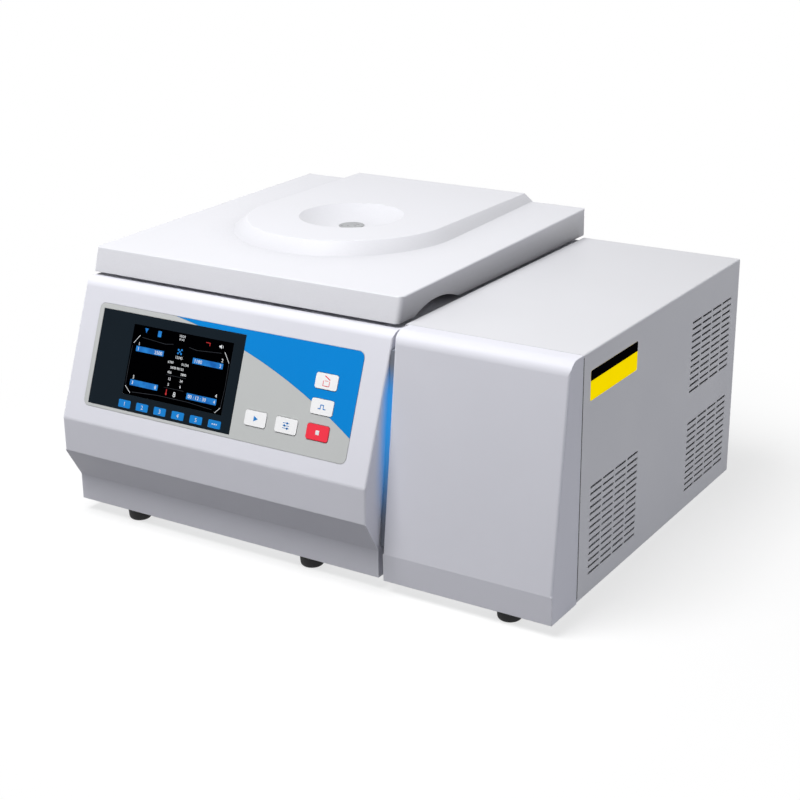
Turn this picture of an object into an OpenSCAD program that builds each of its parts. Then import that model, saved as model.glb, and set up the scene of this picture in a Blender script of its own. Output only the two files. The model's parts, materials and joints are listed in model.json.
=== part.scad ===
// Benchtop refrigerated laboratory centrifuge with a swing-out rotor.
// Lengths are in millimetres and angles in degrees. Pieces are drawn with x to the right
// from the left side of the main body, y to the back from the front of the console and
// z up from the underside of the housing; place() then centres the footprint.

/* [Main body] */
// Width of the main body
main_w = 456; // [450:1:480]
// Depth from the front of the console to the rear panel
body_d = 540; // [535:1:560]
// Height of the top deck above the underside of the housing
deck_z = 287; // [284:1:296]
// Wall of the moulded covers and of the top deck
shell_t = 3; // [2.6:0.1:3.4]
// Thickness of the sheet metal panels
sheet_t = 1.5; // [1.2:0.1:1.8]
// Thickness of the base plate
base_t = 2; // [1.5:0.1:3]
// Gap between fixed pieces that sit side by side
fit_gap = 0.3; // [0.2:0.05:0.4]
// Width of the flanges that stand on the base plate
flange_w = 15; // [12:1:20]

/* [Console] */
// Height of the plinth behind the front feet
plinth_z = 34; // [28:1:40]
// How far the plinth stands back from the upright band
plinth_set = 25; // [20:1:30]
// Height of the lower edge of the upright band
band_z = 75.5; // [70:0.5:82]
// Height of the edge where the sloped face starts
kink_z = 119.6; // [114:0.2:122]
// Lean of the sloped face from the vertical
slope_deg = 21; // [18:0.5:24]
// Rounding between the sloped face and the deck
console_r = 14; // [8:1:16]
// Rounding of the edge at the foot of the sloped face
kink_r = 9; // [5:1:12]
// Rounding of the lower edge of the upright band
band_r = 3; // [1:0.5:5]
// Rounding of the console's side edges
console_side_r = 2.5; // [1:0.5:2.8]
// How far the console's top lip runs under the lid
console_lip = 6; // [4:0.5:10]

/* [Control panel] */
// Width of the printed overlay
overlay_w = 394.5; // [390:0.5:400]
// Height of the printed overlay along the slope
overlay_h = 130; // [128:0.5:134]
// Left edge of the overlay from the left side of the body
overlay_x = 29.7; // [26:0.1:34]
// Lower edge of the overlay up the slope
overlay_s = 21.8; // [20:0.2:25]
// Corner radius of the overlay
overlay_r = 8; // [5:0.5:12]
// Thickness of the overlay and of the display window
overlay_t = 1; // [0.8:0.1:1.2]
// Depth of the pocket that the overlay lies in
pocket_t = 0.7; // [0.5:0.1:0.8]
// Width of the display window
window_w = 221.2; // [216:0.2:226]
// Height of the display window
window_h = 119.4; // [116:0.2:122]
// Left edge of the window from the left edge of the overlay
window_x = 7.3; // [5:0.1:10]
// Lower edge of the window from the lower edge of the overlay
window_s = 4; // [3:0.1:6]
// Width of the screen's picture area
lcd_w = 153.8; // [150:0.2:156]
// Height of the screen's picture area
lcd_h = 87.2; // [85:0.2:89]
// Window beyond the right side of the screen
lcd_right = 15.8; // [13:0.2:18]
// Lower edge of the screen from the lower edge of the window
lcd_s = 20; // [18:0.1:22]
// Rim of the screen module behind the console wall
lcd_rim = 5; // [4:0.5:6]
// Depth of the screen module behind the console wall
lcd_t = 6; // [5:0.5:7]
// Radius of the curve that bounds the blue field
blue_r = 730; // [700:5:760]
// Centre of that curve to the right of the overlay's left edge
blue_x = 13; // [8:1:18]
// Centre of that curve below the overlay's lower edge
blue_s = 592; // [588:1:596]
// Thickness of the blue foil
foil_t = 0.2; // [0.1:0.05:0.3]
// Distance from the console wall to the control board
board_gap = 9; // [8.5:0.5:11]
// Thickness of the control board
board_t = 1.6; // [1.2:0.1:2]

/* [Keys] */
// Width of a key
key_w = 30.5; // [28:0.5:33]
// Height of a key along the slope
key_h = 18.2; // [16:0.2:20]
// Corner radius of a key
key_r = 3; // [2:0.5:4]
// Gap between a key and its opening
key_gap = 0.5; // [0.4:0.1:0.8]
// How far a key stands out of the overlay
key_proud = 0.9; // [0.9:0.1:1.2]
// Travel of a key
key_travel = 0.8; // [0.5:0.1:0.8]
// Centre of the right key column from the overlay's right edge
key_in = 43.7; // [40:0.1:46]
// Least gap between the window and the nearest key
key_beside = 18; // [16:0.5:18.5]
// Centre of the lowest key row above the overlay's lower edge
key_low = 29.1; // [26:0.1:32]
// Spacing of the keys across the panel
key_pitch_x = 44.1; // [42:0.1:45]
// Spacing of the keys up the panel
key_pitch_s = 29.7; // [28:0.1:32]

/* [Lid] */
// Lid's right side in from the right side of the main body
lid_in = 3; // [2.6:0.2:8]
// Left side of the lid from the left side of the body, below zero where it stands over
lid_left = -3; // [-4:0.1:2]
// From the top of the console's slope to the foot of the lid
lid_setback = 13.5; // [10:0.5:18]
// Gap between the lid and the deck
lid_gap = 4.6; // [3.4:0.1:5]
// Height of the lid's front face
lid_h = 30; // [29:0.5:34]
// Rise of the lid's top from front to back
lid_rise = 6.5; // [4:0.5:9]
// How far the front face leans back
lid_lean = 9; // [6:0.5:12]
// Overhang of the lid behind the rear panel
lid_overhang = 16; // [15:0.5:20]
// Radius of the lid's upright corners
lid_corner_r = 6; // [5:0.5:9]
// Rounding of the lid's top edges
lid_edge_r = 2; // [1:0.5:3]
// Height of the tongue's level top above the back of the lid
tongue_rise = 9.9; // [8:0.1:12]
// Half width of the tongue at its top
tongue_r = 136.5; // [130:0.5:140]
// Lean of the tongue's sides from the vertical
tongue_deg = 52; // [45:1:58]
// Rounding of the tongue's top edge
tongue_edge_r = 3; // [1:0.5:5]
// Radius of the dish over the rotor
dish_r = 69; // [66:1:74]
// Depth of the dish
dish_h = 14; // [12:0.5:16]
// Radius of the sight window in the dish
sight_r = 16.5; // [13:0.5:18]
// Thickness of the sight window
sight_t = 2.2; // [2.1:0.1:2.6]
// Length of a finger notch along the lid's side
notch_w = 101; // [92:1:110]
// Height of a finger notch
notch_h = 11; // [9:0.5:12]
// Depth of a finger notch into the lid
notch_d = 24; // [20:1:28]
// Front end of a finger notch behind the lid's foot
notch_y = 35; // [30:1:40]
// Height of the lid liner above the lid's lower rim
liner_up = 2.6; // [2.4:0.1:3]
// Thickness of the lid liner
liner_t = 2; // [1.5:0.1:2.5]
// Radius of the posts that carry the liner
post_r = 6; // [5:0.5:7]

/* [Cooling bay] */
// Width of the cooling bay
bay_w = 217.2; // [210:0.2:230]
// Gap between the console and the bay's front cover
bay_gap = 6.8; // [6:0.1:8]
// Height of the bay's top above the deck
bay_rise = 4.3; // [4:0.1:6]
// Front of the bay behind the front of the console
bay_face_y = 24; // [20:0.5:28]
// Height of the bay's lower band
bay_band_z = 32.4; // [28:0.2:36]
// How far the bay's front cover hangs below the housing
bay_drop = 2; // [1:0.5:3]
// Lean of the bay's front face from the vertical
bay_lean_deg = 7; // [5:0.5:9]
// Rounding of the bay's top front edge
bay_top_r = 17; // [12:1:20]
// Rounding of the bay's upright front edges
bay_side_r = 3; // [1:0.5:3]
// From the top of the lean to the seam of the front cover
bay_lip = 30; // [26:1:36]
// Width of the seam behind the front cover
seam_gap = 0.9; // [0.6:0.1:1]
// Length of the tongue that locates the front cover
tongue_l = 8; // [6:0.5:10]
// Gap between the deck and the bay's top sheet
cover_gap = 1.2; // [1:0.1:2]
// Width of the blue accent strip
strip_w = 5.9; // [5:0.1:5.9]
// Set-back of the accent strip from the bay's face
strip_set = 3; // [1:0.5:8]
// Depth of the accent strip
strip_d = 8; // [4:0.5:12]

/* [Vents] */
// Length of a vent slot
slot_w = 28.6; // [24:0.2:30]
// Height of a vent slot
slot_h = 2.6; // [2:0.1:4]
// Spacing of the vent slots along the side
slot_pitch_y = 32.4; // [31:0.1:36]
// Spacing of the vent rows
slot_pitch_z = 8.1; // [7:0.1:8.2]
// Number of slots in a row
slot_cols = 4; // [2:1:4]
// Rows in the front vent
vent_front_rows = 14; // [8:1:14]
// Rows in each rear vent
vent_rear_rows = 12; // [6:1:12]
// Front vent behind the front of the console
vent_front_y = 113; // [108:1:120]
// Rear vents ahead of the rear panel
vent_rear_in = 150; // [145:1:160]
// Height of the lowest row of slots
vent_low_z = 23; // [20:1:26]
// Height of the lowest row of the upper rear vent
vent_high_z = 155; // [150:1:165]

/* [Feet] */
// Height of a rubber foot
foot_h = 17; // [12:0.5:20]
// Radius of a rubber foot
foot_r = 15.5; // [13:0.5:16]
// Front feet behind the front of the console
foot_y = 44; // [43.5:0.5:50]
// Rear feet ahead of the rear panel
foot_rear = 50; // [40:1:60]
// Left feet from the left side
foot_left = 79.5; // [70:0.5:95]
// Middle feet from the right side of the main body
foot_mid = 107; // [95:0.5:115]
// Right feet from the right side of the bay
foot_right = 61.5; // [50:0.5:70]

/* [Chamber] */
// Gap between the insulation jacket and the rear panel
rear_room = 8.9; // [6:0.1:12]
// Rotor axis left of the middle of the lid
axis_off = 2.5; // [0:0.5:5]
// Gap between the insulation jacket and the sides of the main body
side_room = 22; // [20:0.5:26]
// Latch shaft ahead of the insulation jacket
latch_room = 11; // [11:0.5:14]
// Wall of the chamber bowl
bowl_t = 2; // [1.5:0.1:2.2]
// Height of the chamber floor
bowl_floor_z = 120; // [119:0.5:122]
// Rounding between the chamber's wall and floor
bowl_fillet = 16; // [10:1:20]
// Width of the bowl's flange under the deck
bowl_flange = 20; // [16:1:22]
// Radius of the shaft opening in the chamber floor
seal_r = 24; // [22:0.5:26]
// Width of the chamber gasket
gasket_w = 10; // [8:0.5:12]
// Gasket inside edge beyond the chamber wall
gasket_in = 3; // [2:0.5:5]
// Radius of the cooling coil's tube
coil_tube_r = 4; // [3:0.2:4]
// Turns of the cooling coil
coil_turns = 7; // [4:1:8]
// Rise of the coil for each turn
coil_pitch = 16; // [12:1:16]
// Height of the coil's lowest turn
coil_z = 142; // [138:1:146]
// Wall of the insulation jacket
jacket_t = 16; // [12:0.5:17]
// Floor of the insulation jacket
jacket_floor = 20; // [16:1:22]

/* [Rotor] */
// Height of the bucket pivots
pivot_z = 212; // [211:0.5:216]
// Gap between a hanging bucket's rim and the rotor hub
hub_gap = 18; // [12:0.5:20]
// Radius of a trunnion pin
pin_r = 4; // [3.4:0.1:4.4]
// Running clearance of pins and shafts
run_gap = 0.08; // [0.05:0.01:0.1]
// Outer radius of a bucket
bucket_r = 36; // [33:0.5:37]
// Wall of a bucket
bucket_t = 3; // [2.5:0.1:3.5]
// Rim that stands out around a bucket's mouth
bucket_rim = 2; // [1:0.5:3]
// Height of a bucket above its pivots
bucket_up = 22; // [18:0.5:24]
// Gap between a swung-out bucket and the chamber wall
bucket_room = 16; // [14:0.5:24]
// Thickness of a bucket's floor
bucket_floor = 4; // [3:0.5:6]
// Reach of a bucket's pivot boss from its centre
ear_out = 45; // [44:0.5:47]
// Half width of a bucket's pivot boss
ear_half = 9; // [8:0.5:10]
// Radius of the rotor hub
hub_r = 28; // [26:0.5:30]
// Half height of the rotor hub
hub_half = 14; // [12:0.5:15]
// Half width of a rotor arm
arm_half = 10; // [9:0.5:11]
// Half height of a rotor arm
arm_half_h = 10; // [8:0.5:11]
// Reach of a rotor arm beyond the line of its trunnion pins
arm_tip = 13.2; // [11:0.2:16]
// Depth of a trunnion pin in its arm
pin_seat = 8; // [6:0.5:9]
// Radius of the rotor nut
nut_r = 17; // [15:0.5:19]
// Height of the rotor nut
nut_h = 24; // [18:0.5:28]

/* [Drive] */
// Radius of the drive shaft
shaft_r = 10; // [9:0.5:11]
// Radius at the small end of the shaft's taper
taper_r = 7.5; // [7:0.1:8]
// Radius of the threaded tip
thread_r = 6; // [5:0.1:6.4]
// Radius of the motor
motor_r = 62; // [56:1:66]
// Height of the motor below its bracket
motor_h = 74; // [66:1:78]
// Radius of the motor's spinning core
core_r = 36; // [32:0.5:38]
// Height of the motor's spinning core
core_h = 34; // [26:1:36]
// Air gap around the core
air_gap = 0.6; // [0.5:0.1:1]
// Radius of a shaft bearing
bearing_r = 21; // [18:0.5:23]
// Height of a shaft bearing
bearing_t = 12; // [10:0.5:14]
// Radius of the motor's nose
nose_r = 28; // [26:0.5:30]
// Height of the nose above the bracket
nose_h = 3; // [2:0.5:3.5]
// Thickness of the motor bracket
bracket_t = 4; // [3:0.5:5]
// Inner half width of the motor bracket
bracket_in = 92; // [84:1:98]
// Depth of the motor bracket
bracket_d = 150; // [140:1:170]
// Width of the bracket's feet
bracket_foot = 30; // [26:1:34]
// Height of the rubber dampers
damper_h = 16; // [12:1:20]
// Radius of the rubber dampers
damper_r = 12; // [10:0.5:13]

/* [Cooling] */
// Radius of the compressor
comp_r = 60; // [50:1:64]
// Height of the compressor
comp_h = 165; // [140:1:175]
// Compressor ahead of the rear panel
comp_in = 112; // [106:1:125]
// Height of the compressor's rubber mounts
grommet_h = 12; // [8:1:16]
// Radius of the refrigerant pipes
pipe_r = 4; // [3:0.2:4]
// Depth of the condenser block
cond_t = 28; // [22:1:32]
// Length of the condenser block
cond_l = 146; // [138:1:150]
// Height of the condenser block
cond_h = 140; // [132:1:150]
// Gap between the condenser and the side panel
cond_in = 9; // [6:0.5:14]
// Number of condenser fins
fin_count = 24; // [12:1:28]
// Thickness of a condenser fin
fin_t = 1; // [0.8:0.1:1.2]
// Width of the fan frame
fan_w = 120; // [110:1:124]
// Depth of the fan frame
fan_t = 25; // [22:1:30]
// Number of fan blades
fan_blades = 7; // [5:1:9]
// Radius of the fan hub
fan_hub_r = 20; // [17:0.5:22]
// Radius of the filter drier
drier_r = 12; // [9:0.5:14]
// Length of the filter drier
drier_l = 90; // [70:1:100]

/* [Hinge and latch] */
// Hinge axis behind the rear panel
hinge_y = 9; // [8.5:0.1:10]
// Hinge axis below the lid's rim
hinge_drop = 8; // [7.6:0.1:10]
// Outer radius of the hinge knuckles
knuckle_r = 6; // [5:0.1:6.5]
// Radius of the hinge pins
hinge_pin_r = 2.5; // [2:0.1:3]
// Width of a hinge
hinge_w = 64; // [54:1:74]
// Middle of a hinge in from the side of the lid
hinge_in = 85.3; // [76.3:1:96.3]
// Thickness of a hinge leaf
leaf_t = 2.5; // [2:0.1:3]
// Height of a hinge leaf
leaf_h = 46; // [36:1:56]
// Lid strikers in from the side of the lid
striker_in = 75.3; // [65.3:1:85.3]
// Lid strikers behind the lid's foot
striker_y = 22; // [20:0.5:24]
// Radius of the striker bars
striker_r = 3; // [2.5:0.1:3.2]
// Half width of a striker
striker_half = 9; // [8:0.5:10]
// Depth of the striker bar below the deck
striker_down = 22; // [20:0.5:24]
// Swing of the latch hooks from open to locked
latch_deg = 28; // [26:1:30]
// Radius of the latch shaft
latch_r = 4; // [3.5:0.1:4.5]
// Length of the latch's gear motor
gear_l = 52; // [44:1:54]
// Latch's gear motor from the rotor axis
gear_x = 40; // [39:1:46]
// Latch brackets in from the hooks
bracket_gap = 26; // [22:1:28]

/* [Electronics] */
// Power supply in from the left end of the base plate
psu_in = 40; // [30:1:50]
// Power supply behind the front of the base plate
psu_back = 12; // [8:1:14]
// Length of the power supply
psu_l = 140; // [120:1:150]
// Depth of the power supply and of the motor drive
psu_d = 72; // [64:1:74]
// Height of the power supply
psu_h = 54; // [44:1:58]
// Gap between the power supply and the motor drive
drive_gap = 30; // [20:1:40]
// Length of the motor drive
drive_l = 180; // [150:1:190]
// Height of the motor drive's case
drive_h = 24; // [18:1:28]
// Height of the motor drive's fins
drive_fin_h = 38; // [28:1:40]
// Number of the motor drive's fins
drive_fins = 12; // [8:1:14]

/* [Rear] */
// Centre of the mains inlet from the right side of the bay
inlet_in = 110; // [100:1:130]
// Height of the mains inlet
inlet_z = 60; // [55:1:80]
// Width of the mains inlet's flange
inlet_w = 72; // [70:1:76]
// Height of the mains inlet's flange
inlet_h = 34; // [32:1:36]
// Depth of the mains inlet behind the panel
inlet_d = 26; // [24:1:30]
// Half tilt of the power rocker
rocker_deg = 9; // [7:0.5:10]

/* [Hidden] */
$fn = 96;
$fa = 6;
over = 1;
arc_slack = 0.003;
slope_top_y = (deck_z - kink_z) * tan(slope_deg);
lid_front_y = slope_top_y + lid_setback;
console_back = lid_front_y + console_lip;
lid_back_y = body_d + lid_overhang;
lid_w = main_w - lid_in - lid_left;
lid_right = lid_left + lid_w;
lid_z0 = deck_z + lid_gap;
lid_z1 = lid_z0 + lid_h;
lid_top_l = lid_back_y - lid_front_y - lid_lean;
lid_tilt = atan(lid_rise / lid_top_l);
tongue_z = lid_z1 + lid_rise + tongue_rise;
tongue_low = lid_z1 - shell_t - over - tongue_z;
liner_z = lid_z0 + liner_up;
under_deck = deck_z - shell_t;
bay_x = main_w + bay_gap;
total_w = bay_x + bay_w;
total_d = lid_back_y;
bay_top_z = deck_z + bay_rise;
bay_top_y = bay_face_y + (bay_top_z - bay_band_z) * tan(bay_lean_deg);
bay_seam_y = bay_top_y + bay_lip;
cover_x = main_w + cover_gap;
bar_y = lid_front_y + striker_y;
bar_z = under_deck - striker_down;
latch_y = bar_y + 20;
latch_z = bar_z - 12;
axis_x = lid_left + lid_w / 2 - axis_off;
hinge_x = lid_w / 2 - hinge_in;
striker_x = lid_w / 2 - striker_in;
room_d = (body_d - latch_y - latch_room - rear_room) / 2;
jacket_out = min(axis_x - side_room, main_w - axis_x - side_room, room_d);
axis_y = body_d - rear_room - jacket_out;
overlay_top = overlay_t - pocket_t;
key_least_x = overlay_x + window_x + window_w + key_beside + key_w / 2 + 2 * key_pitch_x;
key_x = max(overlay_x + overlay_w - key_in, key_least_x);
key_s = overlay_s + key_low;
key_top = overlay_top + key_proud;
window_x0 = overlay_x + window_x;
window_s0 = overlay_s + window_s;
lcd_x0 = window_x0 + window_w - lcd_w - lcd_right;
lcd_s0 = window_s0 + lcd_s;
base_x0 = shell_t + fit_gap;
base_x1 = total_w - shell_t - fit_gap;
base_y0 = max(plinth_set, bay_face_y + over) + shell_t + fit_gap;
notch_back_y = max(console_back, bay_seam_y + tongue_l) + 2;
jacket_r = jacket_out - jacket_t;
coil_r = jacket_r - fit_gap - coil_tube_r;
bowl_r = coil_r * cos(7.5) - coil_tube_r - fit_gap - bowl_t;
pivot_r = hub_r + hub_gap + bucket_r + bucket_rim;
bucket_down = bowl_r - pivot_r - bucket_room;
arm_reach = pivot_r * sqrt(2) + arm_tip;
jacket_z0 = bowl_floor_z - bowl_t - fit_gap - jacket_floor;
coil_top_z = coil_z + coil_pitch * (coil_turns + 0.5);
bracket_z = jacket_z0 - nose_h - fit_gap - 1;
motor_top = bracket_z - bracket_t;
motor_z0 = motor_top - motor_h;
core_z = motor_z0 + (motor_h - core_h) / 2;
lower_bearing_z = motor_z0 + 5;
upper_bearing_z = motor_top - bearing_t + 2;
damper_top = base_t + damper_h;
hub_z0 = pivot_z - hub_half;
hub_z1 = pivot_z + hub_half;
pin_in = bucket_r + 1.4;
inlet_x = total_w - inlet_in;
comp_x = bay_x + bay_w / 2;
comp_y = body_d - comp_in;
comp_z = base_t + grommet_h;
stub_z = comp_z + comp_h + 10;
stub_d = comp_r * 0.4;
cond_x1 = total_w - sheet_t - cond_in;
cond_x0 = cond_x1 - cond_t;
cond_y0 = vent_front_y - 6;
cond_z1 = base_t + cond_h;
cond_stub_z = cond_z1 + 10;
fan_x1 = cond_x0 - fit_gap;
fan_x0 = fan_x1 - fan_t;
fan_y = cond_y0 + cond_l / 2;
fan_z = base_t + cond_h / 2;
lead_x = main_w + 10;
drier_x = main_w + drier_r + 3;
drier_y = console_back + 166;
drier_z = 90;
hinge_y0 = body_d + hinge_y;
hinge_z = lid_z0 - hinge_drop;
switch_x = inlet_x + 18;
key_lip = 1.6;
switch_top = shell_t + key_lip + key_travel + 2 * fit_gap;
board_x0 = lcd_x0 - lcd_rim - 14;
board_x1 = key_x + key_w / 2 + 14;
board_s0 = key_s - key_h / 2 - 4;
board_s1 = key_s + 2 * key_pitch_s + key_h / 2 + 4;
arch_r = (notch_w * notch_w / 4 + notch_h * notch_h) / (2 * notch_h);
arch_y = lid_front_y + notch_y + notch_w / 2;
liner_y0 = lid_front_y + lid_lean * (liner_up + liner_t) / lid_h + shell_t * 1.05 + fit_gap;
liner_y1 = lid_back_y - shell_t - fit_gap;
knuckle_mid = hinge_w / 3;
bucket_floor_z = bucket_floor - bucket_down;
seat_t = 1.8;
socket_x = inlet_x - 14;

// Unit vector along v
function unit(v) = v / norm(v);

// Outline of the console's side in y and z, with its walls drawn in by t
function console_side(t, low, back) =
  let (chamfer = atan(plinth_set / (band_z - plinth_z)))
  let (up = t * tan(chamfer / 2))
  let (top_y = slope_top_y + t * (sin(slope_deg) - 1) * tan(slope_deg) + t * cos(slope_deg))
  [
    [plinth_set + t, low],
    [plinth_set + t, plinth_z + up],
    [t, band_z + up],
    [t, kink_z - t * tan(slope_deg / 2)],
    [top_y, deck_z - t],
    [back, deck_z - t],
    [back, low]
  ];

// Front of the bay's leaning face at height z
function bay_front(z) = bay_face_y + (z - bay_band_z) * tan(bay_lean_deg);

// Outline of the bay cover's side in y and z, with its walls drawn in by t
function bay_side(t, low, back) = [
  [bay_face_y + over + t, low],
  [bay_face_y + t, bay_band_z],
  [bay_front(bay_top_z - t) + t / cos(bay_lean_deg), bay_top_z - t],
  [back, bay_top_z - t],
  [back, low]
];

// Outline of the lid's side in y and z, with its walls drawn in by t
function lid_side(t, low) =
  let (skin = t / cos(atan(lid_lean / lid_h)))
  [
    [lid_front_y + skin + (low - lid_z0) * lid_lean / lid_h, low],
    [lid_front_y + skin + lid_lean * (1 - t / lid_h), lid_z1 - t],
    [lid_back_y - t, lid_z1 + lid_rise - t],
    [lid_back_y - t, low]
  ];

// Half outline of the tongue from its level top down to low, drawn in by t
function tongue_half(t, low) = [
  [0, low],
  [tongue_r - t / cos(tongue_deg) - low * tan(tongue_deg), low],
  [tongue_r + t * (tan(tongue_deg) - 1 / cos(tongue_deg)), -t],
  [0, -t]
];

// Points down the hollow of the dish from its rim to its floor, lowered by t
function dish_points(t) = [for (i = [0:14])
  [dish_r - (dish_r - sight_r - 3) * i / 14, -t - dish_h * (1 - pow(1 - i / 14, 2))]
];

// One pass of corner cutting along a path that keeps its two ends
function soften(p) = concat(
  [p[0]],
  [for (i = [0:len(p) - 2]) each [
    i == 0 ? (p[0] + p[1]) / 2 : p[i] * 0.75 + p[i + 1] * 0.25,
    i == len(p) - 2 ? (p[i] + p[i + 1]) / 2 : p[i] * 0.25 + p[i + 1] * 0.75
  ]],
  [p[len(p) - 1]]
);

// Centre line of the cooling coil from its inlet to its outlet
function coil_path() = concat(
  [[lead_x, axis_y + coil_r, coil_z], [axis_x + coil_r / 2, axis_y + coil_r, coil_z]],
  [for (i = [0:24 * (coil_turns + 0.5)]) [
    axis_x + coil_r * cos(90 + i * 15),
    axis_y + coil_r * sin(90 + i * 15),
    coil_z + coil_pitch * i / 24
  ]],
  [[axis_x + coil_r / 2, axis_y - coil_r, coil_top_z], [lead_x, axis_y - coil_r, coil_top_z]]
);

// Least gap of the coil to itself, between points at least half a turn apart
coil_points = coil_path();
coil_least_gap = min([for (i = [0:len(coil_points) - 13], j = [i + 12:len(coil_points) - 1])
  norm(coil_points[i] - coil_points[j])]) - 2 * coil_tube_r;
echo(coil_least_gap = coil_least_gap);

// Puts the drawing frame on the feet with the footprint centred
module place() {
  translate([-total_w / 2, -total_d / 2, foot_h]) children();
}

// What is taken from the corner at p, between its neighbours a and b, to round it. The arc is a
// hair wider than r, so that it crosses the two sides and doesn't graze them.
module corner_cut(a, p, b, r) {
  u = unit(a - p);
  v = unit(b - p);
  half = acos(u * v) / 2;
  mid = unit(u + v);
  centre = p + mid * r / sin(half);
  reach = r / tan(half);
  difference() {
    polygon([p - mid * r, p + u * reach, centre, p + v * reach]);
    translate(centre) circle(r + arc_slack);
  }
}

// A polygon with its convex corners rounded, one radius for each corner
module rounded(points, radii) {
  n = len(points);
  difference() {
    polygon(points);
    for (i = [0:n - 1])
      if (radii[i] > 0)
        corner_cut(points[(i + n - 1) % n], points[i], points[(i + 1) % n], radii[i]);
  }
}

// A rectangle from its lower left corner, with rounded corners
module rounded_rect(x, y, w, h, r) {
  rounded([[x, y], [x + w, y], [x + w, y + h], [x, y + h]], [r, r, r, r]);
}

// A plain box from its lowest corner to its highest
module box(a, b) {
  translate(a) cube(b - a);
}

// A prism along x of a profile in y and z
module along_x(x0, x1) {
  translate([x0, 0, 0]) rotate([90, 0, 90]) linear_extrude(x1 - x0) children();
}

// A prism along y of a profile in x and z
module along_y(y0, y1) {
  translate([0, y1, 0]) rotate([90, 0, 0]) linear_extrude(y1 - y0) children();
}

// A round bar along x
module bar_x(x0, x1, y, z, r) {
  translate([x0, y, z]) rotate([0, 90, 0]) cylinder(h = x1 - x0, r = r);
}

// A round bar along y
module bar_y_at(x, y0, y1, z, r) {
  translate([x, y1, z]) rotate([90, 0, 0]) cylinder(h = y1 - y0, r = r);
}

// A ring about the z axis
module ring(r_out, r_in, z0, z1) {
  translate([0, 0, z0]) linear_extrude(z1 - z0) difference() {
    circle(r_out);
    circle(r_in);
  }
}

// Moves a piece drawn about the z axis onto the rotor axis
module at_axis() {
  translate([axis_x, axis_y, 0]) children();
}

// Frame of the sloped face: y runs up the slope and z out of the face
module on_slope() {
  translate([0, 0, kink_z]) rotate([90 - slope_deg, 0, 0]) children();
}

// A slab on the sloped face between two heights over it
module slope_slab(z0, z1) {
  on_slope() translate([0, 0, z0]) linear_extrude(z1 - z0) children();
}

// Frame of the tongue's level top, centred on the dish
module on_tongue() {
  translate([axis_x, axis_y, tongue_z]) children();
}

// Outline of the overlay, larger all round by more
module overlay_outline(more) {
  rounded_rect(overlay_x - more, overlay_s - more, overlay_w + 2 * more,
    overlay_h + 2 * more, overlay_r + more);
}

// Outline of one key, larger all round by more
module key_outline(at, more) {
  rounded_rect(at[0] - key_w / 2 - more, at[1] - key_h / 2 - more,
    key_w + 2 * more, key_h + 2 * more, key_r + more);
}

// Key centres on the slope: lid, pulse, stop, start and set
key_at = [
  [key_x, key_s + 2 * key_pitch_s],
  [key_x, key_s + key_pitch_s],
  [key_x, key_s],
  [key_x - 2 * key_pitch_x, key_s],
  [key_x - key_pitch_x, key_s]
];

// A closed tube of n sides along a path that is never parallel to up
module tube(path, r, n, up) {
  m = len(path);
  points = [for (i = [0:m - 1])
    let (t = unit(path[min(i + 1, m - 1)] - path[max(i - 1, 0)]))
    let (s = unit(cross(t, up)))
    let (w = cross(s, t))
    for (j = [0:n - 1]) path[i] + r * (cos(360 * j / n) * s + sin(360 * j / n) * w)];
  sides = [for (i = [0:m - 2], j = [0:n - 1])
    let (k = (j + 1) % n)
    each [[i * n + j, i * n + k, i * n + n + k], [i * n + j, i * n + n + k, i * n + n + j]]];
  ends = [for (j = [1:n - 2])
    each [[0, j + 1, j], [m * n - n, m * n - n + j, m * n - n + j + 1]]];
  polyhedron(points, concat(sides, ends));
}

// Positions of the posts and screws that hold the lid liner
post_at = [for (side = [-1, 1]) each [
  [axis_x + side * (striker_x + 20), lid_front_y + 30],
  [axis_x + side * (striker_x - 90), lid_front_y + 30],
  [axis_x + side * (lid_w / 2 - 30), axis_y],
  [axis_x + side * (lid_w / 2 - 30), lid_back_y - 40]
]];

// Positions of the screws along the rear panel
screw_at = concat(
  [for (x = [12, main_w / 2, main_w - 30], z = [16, under_deck - 14]) [x, z]],
  [for (x = [bay_x + 26, total_w - 14], z = [16, bay_top_z - 16]) [x, z]]
);

// Base plate with a cut between the console and the bay's front cover
module base_plate() {
  color("gainsboro") place() linear_extrude(base_t) polygon([
    [base_x0, base_y0], [main_w - shell_t - fit_gap, base_y0],
    [main_w - shell_t - fit_gap, notch_back_y], [bay_x + shell_t + fit_gap, notch_back_y],
    [bay_x + shell_t + fit_gap, base_y0], [base_x1, base_y0], [base_x1, body_d],
    [base_x0, body_d]
  ]);
}

// Six domed rubber feet
module rubber_feet() {
  color("dimgray") place()
    for (x = [foot_left, main_w - foot_mid, total_w - foot_right])
      for (y = [foot_y, body_d - foot_rear])
        translate([x, y, 0]) rotate_extrude() rounded(
          [[0, -foot_h], [foot_r - 1.5, -foot_h], [foot_r, 0], [0, 0]], [0, 5, 0, 0]);
}

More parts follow.
